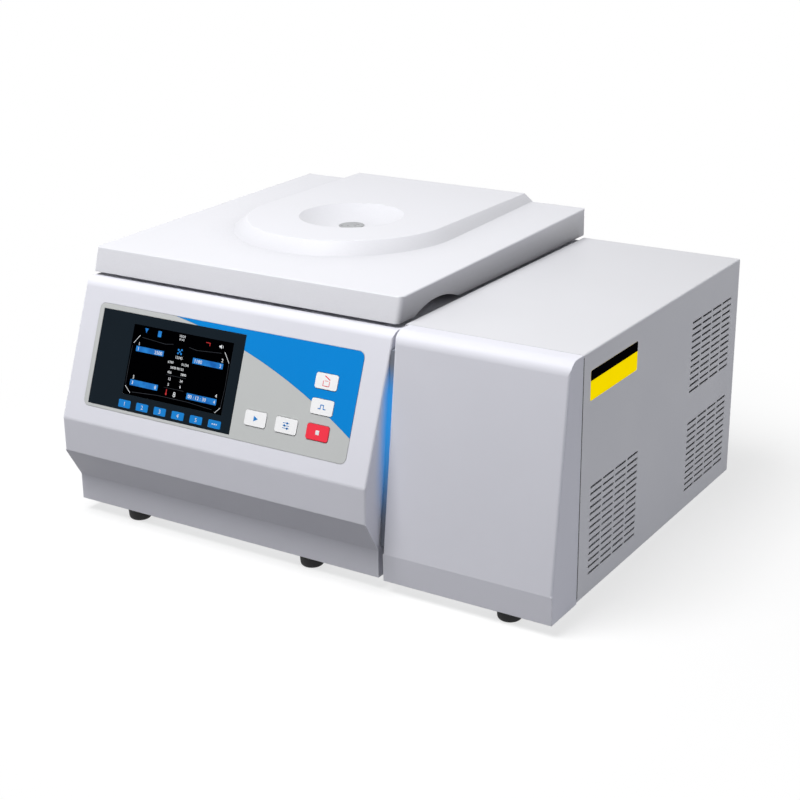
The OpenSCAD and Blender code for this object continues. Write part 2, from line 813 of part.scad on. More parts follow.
// Moulded front of the main body with the sloped control face
module front_console() {
  slope_l = (deck_z - kink_z) / cos(slope_deg);
  color("ghostwhite") place() {
    difference() {
      along_x(0, main_w) rounded(console_side(0, 0, console_back),
        [0, 0, band_r, kink_r, console_r, 0, 0]);
      along_x(shell_t, main_w - shell_t)
        rounded(console_side(shell_t, -over, console_back + over),
          [0, 0, 0, kink_r - shell_t, console_r - shell_t, 0, 0]);
      slope_slab(-pocket_t, shell_t) overlay_outline(fit_gap);
      slope_slab(-2 * shell_t, shell_t) {
        translate([lcd_x0, lcd_s0]) square([lcd_w, lcd_h]);
        for (at = key_at) key_outline(at, key_gap);
      }
      for (side = [[0, 20], [main_w, -20]]) {
        on_slope() along_y(0, slope_l)
          corner_cut([side[0] + side[1], 0], [side[0], 0], [side[0], -20], console_side_r);
        translate([0, 0, band_z]) linear_extrude(kink_z - band_z)
          corner_cut([side[0] + side[1], 0], [side[0], 0], [side[0], 20], console_side_r);
      }
    }
    slope_slab(-shell_t - board_gap, -shell_t + over)
      for (x = [board_x0 + 5, board_x1 - 5], s = [board_s0 + 5, board_s1 - 5])
        translate([x, s]) circle(4);
  }
}

// Printed overlay with openings for the display window and the keys
module control_overlay() {
  color("silver") place() slope_slab(-pocket_t, overlay_top) difference() {
    overlay_outline(0);
    translate([window_x0 - fit_gap, window_s0 - fit_gap])
      square([window_w + 2 * fit_gap, window_h + 2 * fit_gap]);
    for (at = key_at) key_outline(at, key_gap);
  }
}

// Blue foil on the overlay's upper right, bounded by a long curve
module blue_foil() {
  color("dodgerblue") place() slope_slab(overlay_top, overlay_top + foil_t) difference() {
    overlay_outline(0);
    translate([overlay_x + blue_x, overlay_s - blue_s]) circle(blue_r, $fn = 360);
    translate([window_x0 - fit_gap, window_s0 - fit_gap])
      square([window_w + 2 * fit_gap, window_h + 2 * fit_gap]);
    for (at = key_at) key_outline(at, key_gap);
  }
}

// Dark window that frames the screen
module display_window() {
  color("darkslategray") place() slope_slab(-pocket_t, overlay_top) difference() {
    translate([window_x0, window_s0]) square([window_w, window_h]);
    translate([lcd_x0, lcd_s0]) square([lcd_w, lcd_h]);
  }
}

// Screen module seated against the back of the console wall
module lcd_module() {
  color("black") place() {
    slope_slab(-shell_t - lcd_t, -shell_t) translate([lcd_x0 - lcd_rim, lcd_s0 - lcd_rim])
      square([lcd_w + 2 * lcd_rim, lcd_h + 2 * lcd_rim]);
    slope_slab(-shell_t, overlay_top - 0.1) translate([lcd_x0 + fit_gap, lcd_s0 + fit_gap])
      square([lcd_w - 2 * fit_gap, lcd_h - 2 * fit_gap]);
  }
}

// Control board on the console's bosses, with a push switch behind each key
module control_board() {
  color("seagreen") place() {
    slope_slab(-shell_t - board_gap - board_t, -shell_t - board_gap)
      translate([board_x0, board_s0]) square([board_x1 - board_x0, board_s1 - board_s0]);
    slope_slab(-shell_t - board_gap, -switch_top)
      for (at = key_at) translate(at) square(7, center = true);
    slope_slab(-shell_t - board_gap - board_t - 3, -shell_t - board_gap - board_t)
      for (x = [board_x0 + 60, board_x0 + 130, board_x0 + 210])
        translate([x, board_s0 + 40]) square(22, center = true);
  }
}

// Top deck with the chamber opening and two slots for the lid strikers
module top_deck() {
  color("whitesmoke") place() translate([0, 0, under_deck]) linear_extrude(shell_t)
    difference() {
      translate([0, console_back + fit_gap]) square([main_w, body_d - console_back - fit_gap]);
      translate([axis_x, axis_y]) circle(bowl_r);
      for (side = [-1, 1]) translate([axis_x + side * striker_x, bar_y])
        square([2 * (striker_half + striker_r + 4), 18], center = true);
    }
}

// Left side panel with a flange on the base plate
module left_side_panel() {
  color("lightgray") place() {
    box([0, console_back + fit_gap, 0], [sheet_t, body_d, under_deck]);
    box([0, console_back + fit_gap, base_t],
      [flange_w, body_d - sheet_t - fit_gap, base_t + sheet_t]);
  }
}

// Inner wall between the main body and the bay, with two holes for the coil's leads
module right_inner_panel() {
  color("lightgray") place() difference() {
    box([main_w - sheet_t, console_back + fit_gap, base_t],
      [main_w, body_d - sheet_t - fit_gap, under_deck]);
    bar_x(main_w - 10, main_w + 10, axis_y + coil_r, coil_z, coil_tube_r + over);
    bar_x(main_w - 10, main_w + 10, axis_y - coil_r, coil_top_z, coil_tube_r + over);
  }
}

// Rear panel with air slots, the inlet opening and screw holes
module rear_panel() {
  x0 = sheet_t + fit_gap;
  x1 = total_w - sheet_t - fit_gap;
  step_x = cover_x + sheet_t + fit_gap;
  color("lightgray") place() along_y(body_d - sheet_t, body_d) difference() {
    polygon([[x0, base_t], [x1, base_t], [x1, bay_top_z - sheet_t],
      [step_x, bay_top_z - sheet_t], [step_x, under_deck], [x0, under_deck]]);
    translate([inlet_x - inlet_w / 2 + 4 - fit_gap, inlet_z - inlet_h / 2 + 4 - fit_gap])
      square([inlet_w - 8 + 2 * fit_gap, inlet_h - 8 + 2 * fit_gap]);
    for (i = [0:3], j = [0:7]) {
      translate([bay_x + 44 + i * 36, 120 + j * 16]) square([28, 3]);
      translate([axis_x - 70 + i * 36, 28 + j * 8]) square([28, 3]);
    }
    for (at = screw_at) translate(at) circle(2.1);
  }
}

// Pan-head screws that hold the rear panel
module rear_panel_screws() {
  color("silver") place() for (at = screw_at) {
    bar_y_at(at[0], body_d, body_d + 2.2, at[1], 4);
    bar_y_at(at[0], body_d - sheet_t, body_d, at[1], 2);
  }
}

// Moulded front cover of the bay, with a tongue under the sheet cover
module bay_front_cover() {
  tongue_x = total_w - sheet_t - fit_gap;
  tongue_z = bay_top_z - sheet_t - fit_gap;
  color("ghostwhite") place() {
    difference() {
      along_x(bay_x, total_w) rounded(bay_side(0, -bay_drop, bay_seam_y),
        [0, 0, bay_top_r, 0, 0]);
      along_x(bay_x + shell_t, total_w - shell_t)
        rounded(bay_side(shell_t, -bay_drop - over, bay_seam_y + over),
          [0, 0, bay_top_r - shell_t, 0, 0]);
      for (side = [[bay_x, 20], [total_w, -20]])
        translate([side[0], bay_face_y, bay_band_z]) rotate([-bay_lean_deg, 0, 0])
          linear_extrude(bay_top_z) corner_cut([side[1], 0], [0, 0], [0, 20], bay_side_r);
    }
    along_y(bay_seam_y - 4, bay_seam_y + tongue_l) polygon([
      [bay_x + shell_t, bay_top_z - shell_t], [bay_x + shell_t, tongue_z], [tongue_x, tongue_z],
      [tongue_x, base_t + sheet_t + over], [total_w - shell_t, base_t + sheet_t + over],
      [total_w - shell_t, bay_top_z - shell_t]
    ]);
  }
}

// A block of vent slots through the bay's right side
module vent(y0, z0, rows) {
  for (i = [0:slot_cols - 1], j = [0:rows - 1])
    box([total_w - 5, y0 + i * slot_pitch_y, z0 + j * slot_pitch_z],
      [total_w + 5, y0 + i * slot_pitch_y + slot_w, z0 + j * slot_pitch_z + slot_h]);
}

// Folded sheet over the bay's top and right side, with vents and a foot flange
module bay_cover() {
  y0 = bay_seam_y + seam_gap;
  inner_z = bay_top_z - sheet_t;
  color("gainsboro") place() {
    difference() {
      along_y(y0, body_d) rounded([
        [cover_x, under_deck + over], [cover_x, bay_top_z], [total_w, bay_top_z],
        [total_w, 0], [total_w - sheet_t, 0], [total_w - sheet_t, inner_z],
        [cover_x + sheet_t, inner_z], [cover_x + sheet_t, under_deck + over]
      ], [0, 2, 2, 0, 0, 0, 0, 0]);
      vent(vent_front_y, vent_low_z, vent_front_rows);
      vent(body_d - vent_rear_in, vent_low_z, vent_rear_rows);
      vent(body_d - vent_rear_in, vent_high_z, vent_rear_rows);
    }
    box([total_w - flange_w, bay_seam_y + tongue_l + over, base_t],
      [total_w - sheet_t, body_d - sheet_t - fit_gap, base_t + sheet_t]);
  }
}

// Blue accent strip in the gap beside the bay's front cover
module accent_strip() {
  z0 = bay_band_z + 8;
  z1 = bay_top_z - bay_top_r - 6;
  color("deepskyblue") place() along_x(bay_x - strip_w, bay_x) polygon([
    [bay_front(z0) + strip_set, z0], [bay_front(z1) + strip_set, z1],
    [bay_front(z1) + strip_set + strip_d, z1], [bay_front(z0) + strip_set + strip_d, z0]
  ]);
}

// Chamber bowl, hung by its flange under the deck
module chamber_bowl() {
  color("lightsteelblue") place() at_axis() rotate_extrude() {
    difference() {
      rounded([[0, bowl_floor_z - bowl_t], [bowl_r + bowl_t, bowl_floor_z - bowl_t],
        [bowl_r + bowl_t, under_deck], [0, under_deck]], [0, bowl_fillet + bowl_t, 0, 0]);
      rounded([[0, bowl_floor_z], [bowl_r, bowl_floor_z], [bowl_r, under_deck + over],
        [0, under_deck + over]], [0, bowl_fillet, 0, 0]);
      translate([0, bowl_floor_z - 20]) square([seal_r, 40]);
    }
    translate([bowl_r + bowl_t / 2, under_deck - bowl_t])
      square([bowl_flange - bowl_t / 2, bowl_t]);
  }
}

// Rubber seal around the chamber opening, just clear of the closed lid's liner
module chamber_gasket() {
  top = liner_z - fit_gap;
  color("dimgray") place() at_axis() rotate_extrude() rounded([
    [bowl_r + gasket_in, deck_z], [bowl_r + gasket_in + gasket_w, deck_z],
    [bowl_r + gasket_in + gasket_w - 1, top], [bowl_r + gasket_in + 1, top]
  ], [0, 0, 3, 3]);
}

// Insulation around the bowl and its coil
module insulation_jacket() {
  color("khaki") place() difference() {
    at_axis() rotate_extrude() difference() {
      translate([seal_r + 8, jacket_z0])
        square([jacket_r + jacket_t - seal_r - 8, under_deck - bowl_t - fit_gap - jacket_z0]);
      translate([0, bowl_floor_z - bowl_t - fit_gap]) square([jacket_r, 400]);
    }
    bar_x(axis_x, axis_x + 2 * bowl_r, axis_y + coil_r, coil_z, coil_tube_r + fit_gap);
    bar_x(axis_x, axis_x + 2 * bowl_r, axis_y - coil_r, coil_top_z, coil_tube_r + fit_gap);
  }
}

// Cooling coil wound around the bowl, with both leads running into the bay
module evaporator_coil() {
  color("peru") place() tube(coil_points, coil_tube_r, 8, [0, 0, 1]);
}

// Drive motor with its winding ring, bearing seats and nose
module motor_housing() {
  color("slategray") place() at_axis() rotate_extrude() difference() {
    union() {
      rounded([[0, motor_z0], [motor_r, motor_z0], [motor_r, motor_top], [0, motor_top]],
        [0, 6, 0, 0]);
      translate([0, motor_top - over]) square([nose_r, bracket_t + nose_h + over]);
    }
    translate([0, core_z - 3]) square([core_r + air_gap, core_h + 6]);
    translate([0, lower_bearing_z]) square([bearing_r, bearing_t]);
    translate([0, upper_bearing_z]) square([bearing_r, bearing_t]);
    translate([0, lower_bearing_z - 3]) square([shaft_r + 2, 2 * motor_h]);
  }
}

// Hat-shaped bracket that the motor hangs from
module motor_bracket() {
  out = bracket_in + bracket_t;
  color("gray") place() at_axis() difference() {
    union() {
      box([-out, -bracket_d / 2, bracket_z - bracket_t], [out, bracket_d / 2, bracket_z]);
      for (side = [0, 1]) mirror([side, 0, 0]) {
        box([bracket_in, -bracket_d / 2, damper_top], [out, bracket_d / 2, bracket_z]);
        box([bracket_in, -bracket_d / 2, damper_top],
          [out + bracket_foot, bracket_d / 2, damper_top + bracket_t]);
      }
    }
    translate([0, 0, motor_top - 5]) cylinder(h = 20, r = nose_r + fit_gap);
  }
}

// Four rubber dampers between the bracket and the base plate
module motor_dampers() {
  color("dimgray") place() at_axis()
    for (x = [-1, 1], y = [-1, 1])
      translate([x * (bracket_in + bracket_t + bracket_foot / 2),
        y * (bracket_d / 2 - damper_r - 4), base_t]) cylinder(h = damper_h, r = damper_r);
}

// Seal that sits in the chamber floor around the shaft
module shaft_seal() {
  color("dimgray") place() at_axis() {
    ring(seal_r + 6, shaft_r + 0.5, bowl_floor_z, bowl_floor_z + 3);
    ring(seal_r - 0.2, shaft_r + 0.5, bowl_floor_z - bowl_t - 5, bowl_floor_z);
  }
}

// Upper and lower shaft bearings
module shaft_bearings() {
  color("silver") place() at_axis()
    for (z = [lower_bearing_z, upper_bearing_z])
      ring(bearing_r - 0.03, shaft_r + run_gap, z, z + bearing_t);
}

// Hermetic compressor on its mounting plate, with two pipe stubs
module compressor() {
  color("black") place() translate([comp_x, comp_y, comp_z]) {
    rotate_extrude() rounded([[0, 0], [comp_r, 0], [comp_r, comp_h], [0, comp_h]],
      [0, 8, comp_r * 0.5, 0]);
    box([-comp_r - 8, -comp_r * 0.9, 0], [comp_r + 8, comp_r * 0.9, 3]);
    for (side = [-1, 1]) translate([side * stub_d, -stub_d, comp_h * 0.8])
      cylinder(h = stub_z - comp_z - comp_h * 0.8, r = pipe_r + 0.5);
  }
}

// Rubber mounts under the compressor's plate
module compressor_mounts() {
  color("dimgray") place()
    for (x = [-1, 1], y = [-1, 1])
      translate([comp_x + x * (comp_r - 4), comp_y + y * (comp_r * 0.9 - 10), base_t])
        cylinder(h = grommet_h, r = 8);
}

// Condenser block of fins on cross tubes, standing on the base plate
module condenser() {
  y1 = cond_y0 + cond_l;
  mid_x = (cond_x0 + cond_x1) / 2;
  color("silver") place() {
    difference() {
      for (y = [cond_y0, y1 - 2]) box([cond_x0, y, base_t], [cond_x1, y + 2, cond_z1]);
      box([total_w - flange_w - fit_gap, 0, 0], [total_w, body_d, base_t + sheet_t + fit_gap]);
    }
    box([cond_x0, cond_y0, cond_z1 - 2], [cond_x1, y1, cond_z1]);
    for (i = [1:fin_count]) {
      y = cond_y0 + i * (cond_l - fin_t) / (fin_count + 1);
      box([cond_x0, y, base_t + 8], [cond_x1, y + fin_t, cond_z1 - over]);
    }
    for (j = [0:4]) bar_y_at(mid_x, cond_y0, y1, base_t + 22 + j * (cond_h - 44) / 4, pipe_r);
    for (y = [cond_y0 + 14, y1 - 14])
      translate([mid_x, y, cond_z1 - over]) cylinder(h = cond_stub_z - cond_z1 + over, r = pipe_r);
  }
}

// Fan frame against the condenser, with struts and an axle
module fan_frame() {
  color("dimgray") place() {
    along_x(fan_x0, fan_x1) translate([fan_y, fan_z]) difference() {
      square(fan_w, center = true);
      circle(fan_w / 2 - 3);
    }
    along_x(fan_x0, fan_x0 + 3) translate([fan_y, fan_z]) {
      square([fan_w - 4, 5], center = true);
      square([5, fan_w - 4], center = true);
    }
    bar_x(fan_x0, fan_x0 + 5, fan_y, fan_z, fan_hub_r - 1);
    bar_x(fan_x0, fan_x1 - 4, fan_y, fan_z, 2);
  }
}

// Filter drier held by a clip on the inner wall
module filter_drier() {
  color("peru") place() {
    translate([drier_x, drier_y, 0]) rotate_extrude() polygon([
      [0, drier_z - 8], [pipe_r + 1, drier_z - 8], [drier_r, drier_z],
      [drier_r, drier_z + drier_l], [pipe_r + 1, drier_z + drier_l + 8],
      [0, drier_z + drier_l + 8]
    ]);
    box([main_w, drier_y - 7, drier_z + drier_l / 2 - 10],
      [drier_x, drier_y + 7, drier_z + drier_l / 2 + 10]);
  }
}

// Suction, discharge and two liquid pipes between the cooling pieces
module refrigerant_pipes() {
  mid_x = (cond_x0 + cond_x1) / 2;
  front_y = axis_y - coil_r;
  back_y = axis_y + coil_r;
  stub_y = comp_y - stub_d;
  high = stub_z + 40;
  low = 52;
  mid = cond_stub_z + 54;
  far_y = cond_y0 + cond_l - 14;
  routes = [
    [[lead_x, front_y, coil_top_z], [lead_x + 24, front_y, coil_top_z],
      [lead_x + 60, front_y + 40, coil_top_z], [comp_x - stub_d, stub_y - 60, coil_top_z],
      [comp_x - stub_d, stub_y, coil_top_z], [comp_x - stub_d, stub_y, stub_z]],
    [[comp_x + stub_d, stub_y, stub_z], [comp_x + stub_d, stub_y, high],
      [comp_x + stub_d, stub_y - 50, high], [mid_x, far_y + 54, high],
      [mid_x, far_y, high], [mid_x, far_y, cond_stub_z]],
    [[mid_x, cond_y0 + 14, cond_stub_z], [mid_x, cond_y0 + 14, mid],
      [mid_x - 50, cond_y0 + 14, mid], [drier_x, drier_y - 60, mid],
      [drier_x, drier_y, mid], [drier_x, drier_y, drier_z + drier_l + 8]],
    [[drier_x, drier_y, drier_z - 8], [drier_x, drier_y, low],
      [lead_x + 26, drier_y + 30, low], [lead_x + 26, back_y - 30, low],
      [lead_x + 26, back_y, low], [lead_x + 26, back_y, coil_z], [lead_x, back_y, coil_z]]
  ];
  color("peru") place() for (p = routes) tube(soften(soften(p)), pipe_r - 0.1, 8, [1, -1, 1]);
}

// Power supply and finned motor drive on the base plate behind the plinth
module power_electronics() {
  y0 = base_y0 + psu_back;
  y1 = y0 + psu_d;
  x0 = base_x0 + psu_in;
  x1 = x0 + psu_l + drive_gap;
  fin_w = drive_l / drive_fins / 4;
  color("darkgray") place() {
    box([x0, y0, base_t], [x0 + psu_l, y1, base_t + psu_h]);
    box([x1, y0, base_t], [x1 + drive_l, y1, base_t + drive_h]);
    for (i = [0:drive_fins - 1])
      box([x1 + (4 * i + 1) * fin_w, y0 + 4, base_t + drive_h - over],
        [x1 + (4 * i + 2) * fin_w, y1 - 4, base_t + drive_h + drive_fin_h]);
  }
}

// Mains inlet with three blades, joined with the frame of the power switch
module mains_inlet() {
  color("dimgray") place() {
    difference() {
      union() {
        box([inlet_x - inlet_w / 2, body_d, inlet_z - inlet_h / 2],
          [inlet_x + inlet_w / 2, body_d + 2.5, inlet_z + inlet_h / 2]);
        box([inlet_x - inlet_w / 2 + 4, body_d - inlet_d, inlet_z - inlet_h / 2 + 4],
          [inlet_x + inlet_w / 2 - 4, body_d, inlet_z + inlet_h / 2 - 4]);
      }
      box([socket_x - 12.5, body_d - 15, inlet_z - 8.5], [socket_x + 12.5, body_d + 5, inlet_z + 8.5]);
      box([switch_x - 11, body_d - 18, inlet_z - 9], [switch_x + 11, body_d + 5, inlet_z + 9]);
      bar_x(switch_x - 13, switch_x + 13, body_d - 4, inlet_z, 1.5 + run_gap);
    }
    for (pin = [[-7, -2], [0, 2], [7, -2]])
      box([socket_x + pin[0] - 1, body_d - 16, inlet_z + pin[1] - 2],
        [socket_x + pin[0] + 1, body_d - 3.5, inlet_z + pin[1] + 2]);
  }
}

// Rocker of the power switch on its two pivot pins
module power_rocker() {
  color("black") place() translate([switch_x, body_d - 4, inlet_z])
    rotate([rocker_deg, 0, 0]) {
      along_x(-10.4, 10.4) polygon([[-8, -4], [4.2, -7], [3, 0], [4.2, 7], [-8, 4]]);
      bar_x(-12.5, 12.5, 0, 0, 1.5);
    }
}

// Hinge leaves on the rear panel with the outer knuckles
module hinge_body_leaves() {
  color("silver") place()
    for (side = [-1, 1]) translate([axis_x + side * hinge_x, 0, 0]) difference() {
      union() {
        box([-hinge_w / 2, body_d, hinge_z - leaf_h],
          [hinge_w / 2, body_d + leaf_t, hinge_z]);
        for (end = [0, 1]) mirror([end, 0, 0]) {
          bar_x(knuckle_mid / 2 + fit_gap, hinge_w / 2, hinge_y0, hinge_z, knuckle_r);
          box([knuckle_mid / 2 + fit_gap, body_d, hinge_z - knuckle_r],
            [hinge_w / 2, hinge_y0, hinge_z - hinge_pin_r - 0.8]);
        }
      }
      bar_x(-hinge_w, hinge_w, hinge_y0, hinge_z, hinge_pin_r + 0.03);
    }
}

// Hinge pins, headed at both ends
module hinge_pins() {
  color("gray") place()
    for (side = [-1, 1]) translate([axis_x + side * hinge_x, 0, 0]) {
      bar_x(-hinge_w / 2 - 1, hinge_w / 2 + 1, hinge_y0, hinge_z, hinge_pin_r);
      bar_x(hinge_w / 2, hinge_w / 2 + 2, hinge_y0, hinge_z, hinge_pin_r + 1.5);
      bar_x(-hinge_w / 2 - 2, -hinge_w / 2, hinge_y0, hinge_z, hinge_pin_r + 1.5);
    }
}

// Hinge leaves under the lid's rear edge with the middle knuckles
module hinge_lid_leaves() {
  color("silver") place()
    for (side = [-1, 1]) translate([axis_x + side * hinge_x, 0, 0]) difference() {
      union() {
        bar_x(-knuckle_mid / 2, knuckle_mid / 2, hinge_y0, hinge_z, knuckle_r);
        box([-knuckle_mid / 2, hinge_y0 - 3, hinge_z + hinge_pin_r + 0.8],
          [knuckle_mid / 2, hinge_y0 + 3, liner_z]);
        box([-hinge_w / 2, body_d + 1.5, liner_z - 2.4], [hinge_w / 2, liner_y1, liner_z]);
      }
      bar_x(-hinge_w, hinge_w, hinge_y0, hinge_z, hinge_pin_r + run_gap);
    }
}

// Plates under the deck that carry the latch shaft
module latch_brackets() {
  color("gray") place()
    for (side = [-1, 1]) translate([axis_x + side * (striker_x - bracket_gap), latch_y, 0]) difference() {
      union() {
        box([-1.5, -10, latch_z - 10], [1.5, 10, under_deck]);
        box([-10, -10, under_deck - 2], [10, 10, under_deck]);
      }
      bar_x(-10, 10, 0, latch_z, latch_r + run_gap);
    }
}

// Gear motor around the latch shaft, hung from the deck
module latch_motor() {
  color("dimgray") place() translate([axis_x + gear_x, latch_y, 0]) difference() {
    union() {
      box([0, -14, latch_z - 13], [gear_l, 14, latch_z + 13]);
      box([4, -8, latch_z + 12], [gear_l - 4, 8, under_deck]);
    }
    bar_x(-10, 70, 0, latch_z, latch_r + run_gap);
  }
}

// Latch shaft with two hooks, drawn open
module latch_shaft() {
  low = bar_z + striker_r + 0.8 - latch_z;
  color("lightslategray") place() translate([axis_x, latch_y, latch_z]) {
    bar_x(-striker_x - 8, striker_x + 8, 0, 0, latch_r);
    for (side = [-1, 1]) rotate([-latch_deg, 0, 0])
      along_x(side * striker_x - 3, side * striker_x + 3) {
        circle(9);
        polygon([[-6, 0], [6, 0], [6, low + 6], [bar_y - latch_y - 4, low + 6],
          [bar_y - latch_y - 4, low], [-6, low]]);
      }
  }
}

// The lid's solid form up to its top, drawn in by t and reaching down to low
module lid_block(t, low) {
  lean = atan(lid_lean / lid_h);
  r = lid_corner_r - t;
  edge = t > 0 ? 0 : lid_edge_r;
  difference() {
    along_x(lid_left + t, lid_right - t) rounded(lid_side(t, low), [0, edge, edge, 0]);
    for (side = [[lid_left + t, 40], [lid_right - t, -40]]) {
      if (edge > 0)
        translate([0, lid_front_y + lid_lean, lid_z1]) rotate([lid_tilt, 0, 0])
          along_y(-20, lid_top_l + 20)
            corner_cut([side[0] + side[1], 0], [side[0], 0], [side[0], -40], edge);
      translate([side[0], lid_front_y + t / cos(lean), lid_z0]) rotate([-lean, 0, 0])
        translate([0, 0, -10]) linear_extrude(lid_h + 30)
          corner_cut([side[1], 0], [0, 0], [0, 40], r);
      translate([side[0], lid_back_y - t, lid_z0 - 10]) linear_extrude(lid_h + lid_rise + 20)
        corner_cut([side[1], 0], [0, 0], [0, -40], r);
    }
  }
}

// The raised tongue on the lid, drawn in by t
module lid_tongue(t) {
  half = tongue_half(t, tongue_low);
  full = concat(half, [for (i = [2, 1]) [-half[i][0], half[i][1]]]);
  edge = tongue_edge_r - t;
  intersection() {
    on_tongue() {
      rotate([0, 0, 180]) rotate_extrude(angle = 180) rounded(half, [0, 0, max(edge, 0), 0]);
      along_y(0, lid_back_y) rounded(full, [0, 0, max(edge, 0), 0, max(edge, 0), 0]);
    }
    box([lid_left, lid_front_y, lid_z0], [lid_right, lid_back_y - t, tongue_z + over]);
  }
}

// An arch for a finger notch in the lid's side, larger by more
module notch_arch(x0, x1, more) {
  along_x(x0, x1) intersection() {
    translate([arch_y, lid_z0 + notch_h - arch_r]) circle(arch_r + more, $fn = 360);
    translate([arch_y - notch_w, lid_z0 - (more > 0 ? 0 : over)])
      square([2 * notch_w, notch_h + 2 * shell_t]);
  }
}

// Hollow moulded lid with a raised tongue, a dish and two finger notches
module lid_shell() {
  color("white") place() difference() {
    union() {
      difference() {
        union() {
          lid_block(0, lid_z0);
          lid_tongue(0);
        }
        lid_block(shell_t, lid_z0 - over);
        lid_tongue(shell_t);
      }
      on_tongue() rotate_extrude() polygon(concat(
        [[0, -over], [dish_r + shell_t, -over], [dish_r + shell_t, -shell_t]],
        dish_points(shell_t), [[0, -dish_h - shell_t]]));
      notch_arch(lid_left + over, lid_left + notch_d + shell_t, shell_t);
      notch_arch(lid_right - notch_d - shell_t, lid_right - over, shell_t);
      for (at = post_at) {
        top = lid_z1 - shell_t + lid_rise * (at[1] - lid_front_y - lid_lean) / lid_top_l + over;
        translate([at[0], at[1], liner_z + liner_t])
          cylinder(h = top - liner_z - liner_t, r = post_r);
      }
    }
    notch_arch(lid_left - over, lid_left + notch_d, 0);
    notch_arch(lid_right - notch_d, lid_right + over, 0);
    on_tongue() rotate_extrude() polygon(concat([[0, 5], [dish_r, 5]], dish_points(0), [[0, -dish_h]]));
    on_tongue() translate([0, 0, -dish_h - seat_t]) cylinder(h = 10, r = sight_r + fit_gap);
    on_tongue() translate([0, 0, -dish_h - 10]) cylinder(h = 20, r = sight_r - 3);
    for (at = post_at) translate([at[0], at[1], liner_z]) cylinder(h = 14, r = 2.1);
  }
}

// Liner plate that closes the lid from below
module lid_liner() {
  x0 = lid_left + shell_t + fit_gap;
  x1 = lid_right - shell_t - fit_gap;
  gap_y = arch_y - notch_w / 2 - 2 * shell_t;
  color("lightgray") place() translate([0, 0, liner_z]) linear_extrude(liner_t) difference() {
    rounded_rect(x0, liner_y0, x1 - x0, liner_y1 - liner_y0, lid_corner_r);
    for (x = [lid_left - over, lid_right - notch_d - shell_t - fit_gap])
      translate([x, gap_y])
        square([notch_d + shell_t + fit_gap + over, notch_w + 4 * shell_t]);
    translate([axis_x, axis_y]) circle(sight_r + 6);
    for (at = post_at) translate(at) circle(2.3);
  }
}

// Round sight window in the floor of the dish
module sight_window() {
  color("lightgray") place() on_tongue()
    translate([0, 0, -dish_h - seat_t]) cylinder(h = sight_t, r = sight_r);
}

// Striker loops under the liner that the latch hooks hold
module lid_strikers() {
  color("silver") place() for (side = [-1, 1])
    translate([axis_x + side * striker_x, bar_y, 0]) {
      box([-striker_half - 6, -8, liner_z - 2], [striker_half + 6, 8, liner_z]);
      for (x = [-striker_half, striker_half]) translate([x, 0, bar_z]) {
        cylinder(h = liner_z - bar_z - over, r = striker_r);
        sphere(striker_r);
      }
      bar_x(-striker_half, striker_half, 0, bar_z, striker_r);
    }
}

// Screws that hold the liner to the lid's posts
module lid_liner_screws() {
  color("silver") place() for (at = post_at) translate([at[0], at[1], liner_z]) {
    translate([0, 0, -2]) cylinder(h = 2, r = 4);
    translate([0, 0, -over]) cylinder(h = liner_t + 10, r = 2);
  }
}

// Drive shaft with its taper and threaded tip
module drive_shaft() {
  color("silver") place() at_axis() rotate_extrude() polygon([
    [0, lower_bearing_z - 2], [shaft_r, lower_bearing_z - 2], [shaft_r, hub_z0],
    [taper_r, hub_z1], [thread_r, hub_z1], [thread_r, hub_z1 + nut_h - 6],
    [0, hub_z1 + nut_h - 6]
  ]);
}

// Spinning core of the motor on the shaft
module motor_core() {
  color("gray") place() at_axis() ring(core_r, shaft_r + 0.03, core_z, core_z + core_h);
}

// Four-armed rotor on the shaft's taper, bored for the trunnion pins
module rotor_cross() {
  color("gainsboro") place() at_axis() difference() {
    union() {
      translate([0, 0, hub_z0]) cylinder(h = 2 * hub_half, r = hub_r);
      translate([0, 0, pivot_z - arm_half_h]) linear_extrude(2 * arm_half_h)
        for (k = [0:3]) rotate(45 + 90 * k) {
          translate([0, -arm_half]) square([arm_reach - arm_half, 2 * arm_half]);
          translate([arm_reach - arm_half, 0]) circle(arm_half);
        }
    }
    translate([0, 0, hub_z0]) cylinder(h = 2 * hub_half, r1 = shaft_r + 0.03, r2 = taper_r + 0.03);
    for (k = [0:3]) rotate(90 * k) for (side = [0, 1]) mirror([0, side, 0])
      bar_y_at(pivot_r, 40, pivot_r - arm_half * sqrt(2) + pin_seat, pivot_z, pin_r + 0.03);
  }
}

// Eight trunnion pins, two for each bucket
module trunnion_pins() {
  color("silver") place() at_axis() for (k = [0:3]) rotate(90 * k)
    for (side = [0, 1]) mirror([0, side, 0])
      bar_y_at(pivot_r, pin_in, pivot_r - arm_half * sqrt(2) + pin_seat, pivot_z, pin_r);
}

// Fluted nut that holds the rotor on the shaft
module rotor_nut() {
  color("dimgray") place() at_axis() translate([0, 0, hub_z1]) difference() {
    rotate_extrude() rounded([[0, 0], [nut_r, 0], [nut_r, nut_h], [0, nut_h]], [0, 0, 3, 0]);
    for (k = [0:7]) rotate(45 * k) translate([nut_r + 1, 0, 4]) cylinder(h = nut_h, r = 3.5);
    translate([0, 0, -over]) cylinder(h = nut_h - 4, r = thread_r + 0.03);
  }
}

